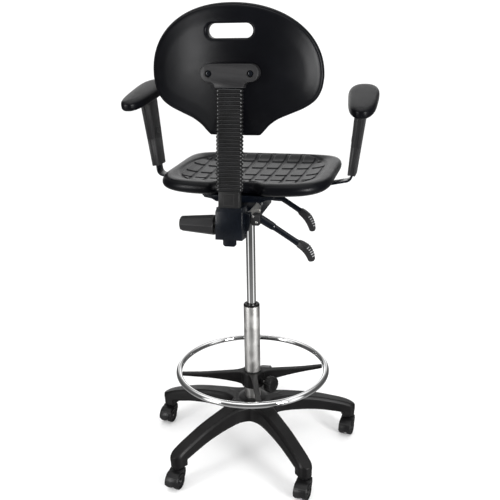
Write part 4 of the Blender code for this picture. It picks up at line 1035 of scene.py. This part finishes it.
def bar_knob():
    """Tapered eight-sided knob on a screw, at the bracket's left."""
    place = (Matrix.Translation(JOINTS["bar_knob_turn"]["pos_m"]) @ turn("X", BAR_LEAN)
             @ turn("Y", math.pi / 2))
    washer("bar_knob_screw_form", 0.0015, 0.0078, 0.0372, 0.0449, 0.0005, place, "bar_knob",
           "bar_knob_screw")
    stations = ((0.0449, 0.0150, 0.4), (0.0449, 0.0235, 0.6), (0.0456, 0.0255, 0.9),
                (0.0475, 0.0270, 1.0), (0.0520, 0.0272, 1.0), (0.0800, 0.0250, 1.0),
                (0.1100, 0.0227, 1.0), (0.1340, 0.0207, 1.0), (0.1385, 0.0202, 0.9),
                (0.1415, 0.0190, 0.7), (0.1428, 0.0170, 0.4), (0.1430, 0.0120, 0.0))
    blunt = 0.992
    rings = carved(stations, 128,
                   lambda a, share: 1 + share * (min(flats(a, 8), blunt) / blunt * 1.02 - 1))
    seated(skin("bar_knob_form", [(rings, False)], PLASTIC, 50.0, place @ turn("Z", math.pi / 8)),
           "bar_knob", "bar_knob")


# Backrest ------------------------------------------------------------------------------------
def back_middle(x, z):
    """Y of the backrest's middle surface."""
    rise = z - BACK_WIDEST_Z
    return 0.1555 - 0.010 * (rise / 0.18) ** 2 + BACK_LEAN * rise - BACK_CURVE * x * x


def back_outline(count):
    """The backrest's outline, anticlockwise seen from -Y, starting at the top."""
    height = BACK_TOP_Z - BACK_WIDEST_Z
    upper = []
    for i in range(1, 25):
        a = math.pi / 2 * (1 - (i - 0.5) / 24)
        upper.append((BACK_HALF_WIDTH * math.cos(a) ** 0.95, BACK_WIDEST_Z + height * math.sin(a) ** 0.95))
    lower = [(0.2320, 1.166), (0.2260, 1.137), (0.2105, 1.111), (0.1840, 1.0925), (0.1480, 1.0775),
             (0.1160, 1.0640), (0.0930, 1.0480), (0.0790, 1.0330), (0.0700, 1.0240), (0.0640, 1.0217),
             (0.0300, 1.0215), (0.0, 1.0215)]
    half = rounded_path([(0.0, BACK_TOP_Z)] + upper + lower, count // 2 + 1)
    mirrored = half[-2:0:-1] * np.array([-1, 1])
    return np.vstack([half, mirrored])


def stadium(count):
    """The handle slot's edge, from its top going towards +X."""
    length, half = SLOT_HALF
    points = [(0.0, half)] + arc((length - half, 0.0), half, 90, -90, 24)
    points += arc((half - length, 0.0), half, -90, -270, 24) + [(0.0, half)]
    return spaced(np.array(points), count + 1)[:-1] + np.array([0, SLOT_Z])


def nearest_on(points, outline):
    """For each point, the closest place on a closed outline, and how far off it is."""
    places, gaps = np.array(points), np.full(len(points), 1e9)
    for start, end in zip(outline, np.roll(outline, -1, axis=0)):
        d = end - start
        t = np.clip(((points - start) @ d) / (d @ d), 0, 1)
        spots = start + t[:, None] * d
        away = np.linalg.norm(points - spots, axis=1)
        nearer = away < gaps
        places[nearer], gaps[nearer] = spots[nearer], away[nearer]
    return places, gaps


def backrest():
    """Moulded shell with a rounded handle slot; smooth behind, tiled in front."""
    around, across = 480, 130
    outline = back_outline(around)
    angles = np.unwrap(np.arctan2(outline[:, 0], outline[:, 1] - SLOT_Z))
    hole = stadium(2000)
    hole_angles = np.unwrap(np.arctan2(hole[:, 0], hole[:, 1] - SLOT_Z))
    inner = np.column_stack([np.interp(angles, hole_angles, hole[:, k], period=TAU) for k in (0, 1)])
    inner, _ = nearest_on(0.35 * inner + 0.65 * stadium(around), hole)
    t = np.linspace(0, 1, across)
    t = 0.5 * t + 0.5 * (0.5 - 0.5 * np.cos(np.pi * t))
    flat = inner[None] + t[:, None, None] * (outline - inner)[None]
    points = flat.reshape(-1, 2)
    x, z = points[:, 0], points[:, 1]
    rim, lip = nearest_on(points, outline[::2])[1], nearest_on(points, hole[::25])[1]
    swell = smooth_curve((0.0, 0.0012, 0.0035, 0.0075, 0.0120, 0.022, 0.047, 0.117, 0.25),
                         (0.0030, 0.0056, 0.0086, 0.0109, 0.0123, 0.0138, 0.0170, 0.0200, 0.0210))
    thick = swell(rim)
    roll = 0.0075
    sunk = roll - np.sqrt(np.maximum(roll ** 2 - np.maximum(roll - lip, 0) ** 2, 0))
    rear = thick - sunk - 0.0014 * np.exp(-(((rim - 0.0052) / 0.0012) ** 2))
    clear = np.minimum(rim - 0.030, lip - 0.022)
    field = tiles(x + 4 * TILE[0], z - BACK_WIDEST_Z + 0.13 * x * x, TILE, clear)
    front = thick - sunk - TILE_HEIGHT * (1 - field) * smooth_step(clear, -0.008, -0.003)
    middle = back_middle(x, z)
    verts = [(px + BACK_X, py, pz) for y in (middle + rear, middle - front) for px, py, pz in zip(x, y, z)]
    size = across * around
    edge = size - around
    faces = []
    for i in range(around):
        j = (i + 1) % around
        faces += [(i, j, size + j, size + i), (edge + i, edge + j, size + edge + j, size + edge + i)]
        for first in range(0, edge, around):
            a, b = first + i, first + j
            faces += [(a, b, b + around, a + around),
                      (size + a, size + b, size + b + around, size + a + around)]
    cushion = make("back_cushion", verts, faces, FOAM, 60.0)
    seated(cushion, "back", "backrest")


def back_plate():
    """Plate with two rounded ears and a neck, and a recessed socket screw in each ear."""
    ear = arc((0.0545, 1.1860), 0.0225, 90, -90, 16)
    neck = rounded_path(((0.0545, 1.1635), (0.0480, 1.1625), (0.0420, 1.1590), (0.0390, 1.1540),
                         (0.0378, 1.1492)), 9)[1:]
    half = [(0.0, 1.2090), (0.0300, 1.2090)] + ear + [tuple(p) for p in neck]
    outline = half + [(-u, v) for u, v in reversed(half[1:])]

    def on_back(u, v, w):
        rear = 0.1985 - 0.090 * (v - 1.1845) - 0.25 * u * u
        front = back_middle(u, v) + 0.0216
        return (u, front + (rear - front) * w / 0.010, v)

    plate = skin("back_plate_form", [slab(outline, -0.002, 0.010, 0.0022, on_back, 4)], PLASTIC, 50.0)
    bolt_x, bolt_z = PLATE_BOLT
    stages = ((0.0084, 0.1912), (0.0084, 0.1955), (0.0096, 0.1985), (0.0110, 0.2040))
    recesses = [([[(s * bolt_x + u, y, bolt_z + v) for u, v, _ in circle(r, 0, 40)] for r, y in stages],
                 False) for s in (-1, 1)]
    seated(cut(plate, recesses, smooth_deg=45.0), "back", "back_plate")
    for side, s in (("left", 1), ("right", -1)):
        spot = Matrix.Translation((s * bolt_x, 0.1914, bolt_z)) @ turn("X", -math.pi / 2)
        head = bolt("plate_bolt_" + side + "_form", 0.0072, 0.0034, 0.0036, spot, PAINT)
        seated(head, "back", "plate_bolt_" + side)


# Armrests ------------------------------------------------------------------------------------
def arm_strap(side, s, foot, up):
    """Bent flat strap from under the seat up into the sleeve, with its two screws."""
    strap_z, corner_z = 0.8562, 0.8720
    path = [(s * 0.112, ARM_Y, strap_z), (s * 0.214, ARM_Y, strap_z),
            tuple(foot + up * ((corner_z - foot.z) / up.z)), tuple(foot + up * 0.120)]
    section = rounded_box(0.0030, 0.0210, 0.0014, 4)
    strap = sweep(filleted(path, 0.018, 16), (0, 1, 0), lambda t: section)
    seated(skin("arm_bracket_form_" + side, [strap], PAINT, 50.0), "seat", "arm_bracket_" + side)
    for i, x in enumerate((0.126, 0.160)):
        spot = Matrix.Translation((s * x, ARM_Y, strap_z - 0.0030)) @ turn("X", math.pi)
        seated(bolt(f"arm_screw_{side}_{i + 1}", 0.0065, 0.0034, 0.0028, spot), "seat")


def arm_sleeve(side, s, place, to_pad):
    """Tapered sleeve with a notch down both edges; its head ends on the pad's underside."""
    climb = (to_pad.to_3x3() @ Vector((0, 0, 1))).z
    rings = []
    for z, inset in ((0.0, 0.0012), (0.0006, 0.0004), (0.0016, 0.0), (0.0800, 0.0), (0.0806, 0.0004),
                     (0.0812, 0.0004), (0.0818, 0.0), (0.1856, 0.0)):
        t = z / SLEEVE_LENGTH
        hx, hy = 0.0112 + 0.0043 * t - inset, 0.0284 + 0.0030 * t - inset
        notch, mouth = 0.0022, 0.0056
        outline = [(hx, -hy), (hx, hy), (mouth, hy), (mouth - 0.0014, hy - notch),
                   (-mouth + 0.0014, hy - notch), (-mouth, hy), (-hx, hy), (-hx, -hy), (-mouth, -hy),
                   (-mouth + 0.0014, -hy + notch), (mouth - 0.0014, -hy + notch), (mouth, -hy)]
        rings.append(lifted(eased(outline, 0.0022, 4), z))
    rings.append([(x, y, z + (-0.0126 - (to_pad @ Vector((x, y, z))).z) / climb)
                  for x, y, z in rings[-1]])
    sleeve = skin("arm_sleeve_form_" + side, [(rings, False)], PLASTIC, 40.0, place)
    button_z = 0.102
    face = 0.0112 + 0.0043 * button_z / SLEEVE_LENGTH
    window = [[(-s * x, y, button_z + z) for y, z in rounded_box(0.0096, 0.0121, 0.0090, 8)]
              for x in (0.0044, face + 0.01)]
    pocket = [lifted(rounded_box(0.0036, 0.0216, 0.0012, 2), z) for z in (-0.01, 0.165)]
    seated(cut(sleeve, [(window, False), (pocket, False)], place), "arm_" + side, "arm_sleeve_" + side)
    rings = []
    for depth, shrink in ((0.0072, 0.0), (face + 0.0004, 0.0), (face + 0.0014, 0.0004),
                          (face + 0.0021, 0.0014), (face + 0.0024, 0.0030), (face + 0.0018, 0.0050)):
        rings.append([(-s * depth, y, z + button_z) for y, z in
                      rounded_box(0.0091 - shrink, 0.0116 - shrink, max(0.0086 - shrink, 0.001), 8)])
    seated(skin("arm_button_form_" + side, [(rings, False)], PLASTIC, 50.0, place),
           "arm_button_" + side, "arm_button_" + side)


def pad_ring(inset, z, sides=96):
    """One level of an arm pad: an egg-shaped superellipse, wider at its front."""
    ring = []
    for i in range(sides):
        a = TAU * (i + 0.5) / sides
        c, q = math.cos(a), math.sin(a)
        y = (0.124 - inset) * math.copysign(abs(q) ** 0.62, q)
        width = 0.0395 - 0.0065 * (y / 0.124)
        x = (width - inset) * math.copysign(abs(c) ** 0.80, c) / 0.96
        ring.append((x, y, z))
    return ring


def armrest(side, s):
    """Strap, sleeve with its lock button, and the tilted pad on a flat base."""
    foot = Vector((s * ARM_FOOT[0], ARM_Y, ARM_FOOT[1]))
    up = Vector((s * math.sin(ARM_FLARE), 0, math.cos(ARM_FLARE)))
    arm_strap(side, s, foot, up)
    foot += up * ARM_SETTING[side]
    place = Matrix.Translation(foot) @ turn("Y", s * ARM_FLARE)
    top = foot + up * SLEEVE_LENGTH
    middle_y = -0.022
    lift = (top.y - middle_y) * math.sin(-PAD_TILT)
    pad = (Matrix.Translation((top.x + s * 0.005, middle_y, top.z + 0.0200 + lift))
           @ Euler((-PAD_TILT, 0, -s * PAD_TOE_IN)).to_matrix().to_4x4())
    arm_sleeve(side, s, place, pad.inverted() @ place)
    profile = rounded_path(((0.016, -0.0120), (0.0060, -0.0112), (0.0012, -0.0075), (0.0, -0.0020),
                            (0.0, 0.0040), (0.0008, 0.0085), (0.0040, 0.0125), (0.0095, 0.0150),
                            (0.0190, 0.0163), (0.0280, 0.0168)), 30)
    rings = [pad_ring(inset, z) for inset, z in profile]
    cushion = skin("arm_cushion_" + side, [(rings, False)], FOAM, 60.0, pad)
    seated(cushion, "arm_" + side, "arm_pad_" + side)
    base = [[(x, y - 0.016, z) for x, y in rounded_box(0.0200 * k, 0.0480 * k, 0.008, 5)]
            for k, z in ((0.93, -0.0172), (1.0, -0.0160), (1.0, -0.0115))]
    seated(skin("arm_pad_base_" + side, [(base, False)], PLASTIC, 50.0, pad), "arm_" + side)


# Studio --------------------------------------------------------------------------------------
CAMERA_YAW = math.radians(194.0)
CAMERA_AIM, CAMERA_PITCH, CAMERA_ROLL = 0.001, 0.3114, -0.0172
CAMERA_DISTANCE, CAMERA_HEIGHT = 2.0218, 1.306
LENS = 50.83
FLOOR_HALF, FLOOR_Z = 9, -0.0005
WORLD_LEVEL = 1.12
# What gloss reflects, as stops of brightness. "Around" runs from 0 on the far side of the studio to
# 1 behind the camera, "up" from 0 straight down to 1 straight up.
BOXES_AROUND = ((0.62, 0.0), (0.68, 1.1), (0.78, 1.1), (0.86, 0.0))
BOXES_UP = ((0.10, 0.0), (0.25, 1.0), (0.75, 1.0), (0.86, 0.0))
WALL_AROUND = ((0.0, 1.0), (0.025, 1.0), (0.06, 0.0))
WALL_UP = ((0.38, 0.12), (0.45, 0.8), (0.50, 1.15), (0.67, 1.15), (0.76, 0.12))
ROOM_UP = ((0.0, 0.42), (0.25, 0.22), (0.34, 0.09), (0.70, 0.09), (0.82, 0.24), (0.90, 1.2))
# Azimuth and elevation in degrees, distance, width, height and power.
LAMPS = {"left": (51.0, 6.0, 3.4, 0.7, 1.6, 52.0), "right": (143.0, 4.0, 3.4, 0.8, 1.6, 104.0),
         "overhead": (90.0, 86.0, 2.8, 1.6, 1.6, 9.0)}
LAMP_AIM_Z = 0.8


def world():
    """An even white studio that shows soft boxes and a pale far wall in gloss."""
    studio_world = bpy.data.worlds.new("studio")
    bpy.context.scene.world = studio_world
    studio_world.use_nodes = True
    nodes, links = studio_world.node_tree.nodes, studio_world.node_tree.links

    def math_node(operation, *values):
        node = nodes.new("ShaderNodeMath")
        node.operation = operation
        for i, value in enumerate(values):
            if isinstance(value, bpy.types.NodeSocket):
                links.new(value, node.inputs[i])
            else:
                node.inputs[i].default_value = value
        return node.outputs["Value"]

    def ramp_node(factor, stops):
        node = nodes.new("ShaderNodeValToRGB")
        elements = node.color_ramp.elements
        while len(elements) < len(stops):
            elements.new(1.0)
        for element, (position, grey) in zip(elements, stops):
            element.position, element.color = position, (grey, grey, grey, 1)
        links.new(factor, node.inputs["Fac"])
        return node.outputs["Color"]

    def mixed(operation, first, second):
        node = nodes.new("ShaderNodeMix")
        node.data_type, node.blend_type = "RGBA", operation
        node.inputs["Factor"].default_value = 1.0
        links.new(first, node.inputs["A"])
        links.new(second, node.inputs["B"])
        return node.outputs["Result"]

    direction = nodes.new("ShaderNodeSeparateXYZ")
    links.new(nodes.new("ShaderNodeTexCoord").outputs["Generated"], direction.inputs["Vector"])
    x, y, z = direction.outputs
    up = math_node("MULTIPLY_ADD", z, 0.5, 0.5)
    facing = math_node("ADD", math_node("MULTIPLY", x, math.sin(CAMERA_YAW)),
                       math_node("MULTIPLY", y, -math.cos(CAMERA_YAW)))
    level = math_node("SQRT", math_node("SUBTRACT", 1.0001, math_node("MULTIPLY", z, z)))
    around = math_node("MULTIPLY_ADD", math_node("DIVIDE", facing, level), 0.5, 0.5)
    boxes = mixed("MULTIPLY", ramp_node(around, BOXES_AROUND), ramp_node(up, BOXES_UP))
    wall = mixed("MULTIPLY", ramp_node(around, WALL_AROUND), ramp_node(up, WALL_UP))
    reflected = mixed("ADD", mixed("ADD", boxes, wall), ramp_node(up, ROOM_UP))
    chosen = nodes.new("ShaderNodeMix")
    chosen.data_type = "RGBA"
    chosen.inputs["A"].default_value = (WORLD_LEVEL, WORLD_LEVEL, WORLD_LEVEL, 1)
    links.new(nodes.new("ShaderNodeLightPath").outputs["Is Glossy Ray"], chosen.inputs["Factor"])
    links.new(reflected, chosen.inputs["B"])
    links.new(chosen.outputs["Result"], nodes["Background"].inputs["Color"])


def lamps():
    for name, (azimuth, elevation, distance, width, height, power) in LAMPS.items():
        azimuth, elevation = math.radians(azimuth), math.radians(elevation)
        spot = Vector((math.cos(elevation) * math.cos(azimuth),
                       math.cos(elevation) * math.sin(azimuth), math.sin(elevation))) * distance
        data = bpy.data.lights.new(name, "AREA")
        data.shape, data.size, data.size_y, data.energy = "RECTANGLE", width, height, power
        lamp = placed(name, data)
        lamp.location = spot + Vector((0, 0, LAMP_AIM_Z))
        lamp.rotation_mode = "QUATERNION"
        lamp.rotation_quaternion = (-spot).to_track_quat("-Z", "Y")


def camera():
    """The photo's view: behind the chair, a little to the sitter's right, looking down on it."""
    yaw = CAMERA_YAW + CAMERA_AIM
    ahead = Vector((-math.cos(CAMERA_PITCH) * math.sin(yaw), math.cos(CAMERA_PITCH) * math.cos(yaw),
                    -math.sin(CAMERA_PITCH)))
    right = ahead.cross(Vector((0, 0, 1))).normalized()
    above = right.cross(ahead)
    rolled_right = right * math.cos(CAMERA_ROLL) + above * math.sin(CAMERA_ROLL)
    rolled_above = above * math.cos(CAMERA_ROLL) - right * math.sin(CAMERA_ROLL)
    turned_to = Matrix((rolled_right, rolled_above, -ahead)).transposed().to_4x4()
    turned_to.translation = (CAMERA_DISTANCE * math.sin(CAMERA_YAW),
                             -CAMERA_DISTANCE * math.cos(CAMERA_YAW), CAMERA_HEIGHT)
    data = bpy.data.cameras.new("camera")
    data.sensor_width, data.lens = 36.0, LENS
    view = placed("camera", data)
    view.matrix_world = turned_to
    bpy.context.scene.camera = view
    bpy.context.scene.view_settings.view_transform = "Standard"


def studio():
    """Pale floor, world, soft boxes and the camera."""
    corners = [(x * FLOOR_HALF, y * FLOOR_HALF, FLOOR_Z) for x, y in ((-1, -1), (1, -1), (1, 1), (-1, 1))]
    floor = make("floor", corners, [(0, 1, 2, 3)], painted_floor("floor"))
    floor.visible_glossy = False
    world()
    lamps()
    camera()


star_base()
casters()
column()
foot_ring()
ring_hub()
ring_clamp()
seat_cushion()
mechanism()
levers()
bracket()
bellows()
bar_knob()
backrest()
back_plate()
armrest("left", 1)
armrest("right", -1)
studio()
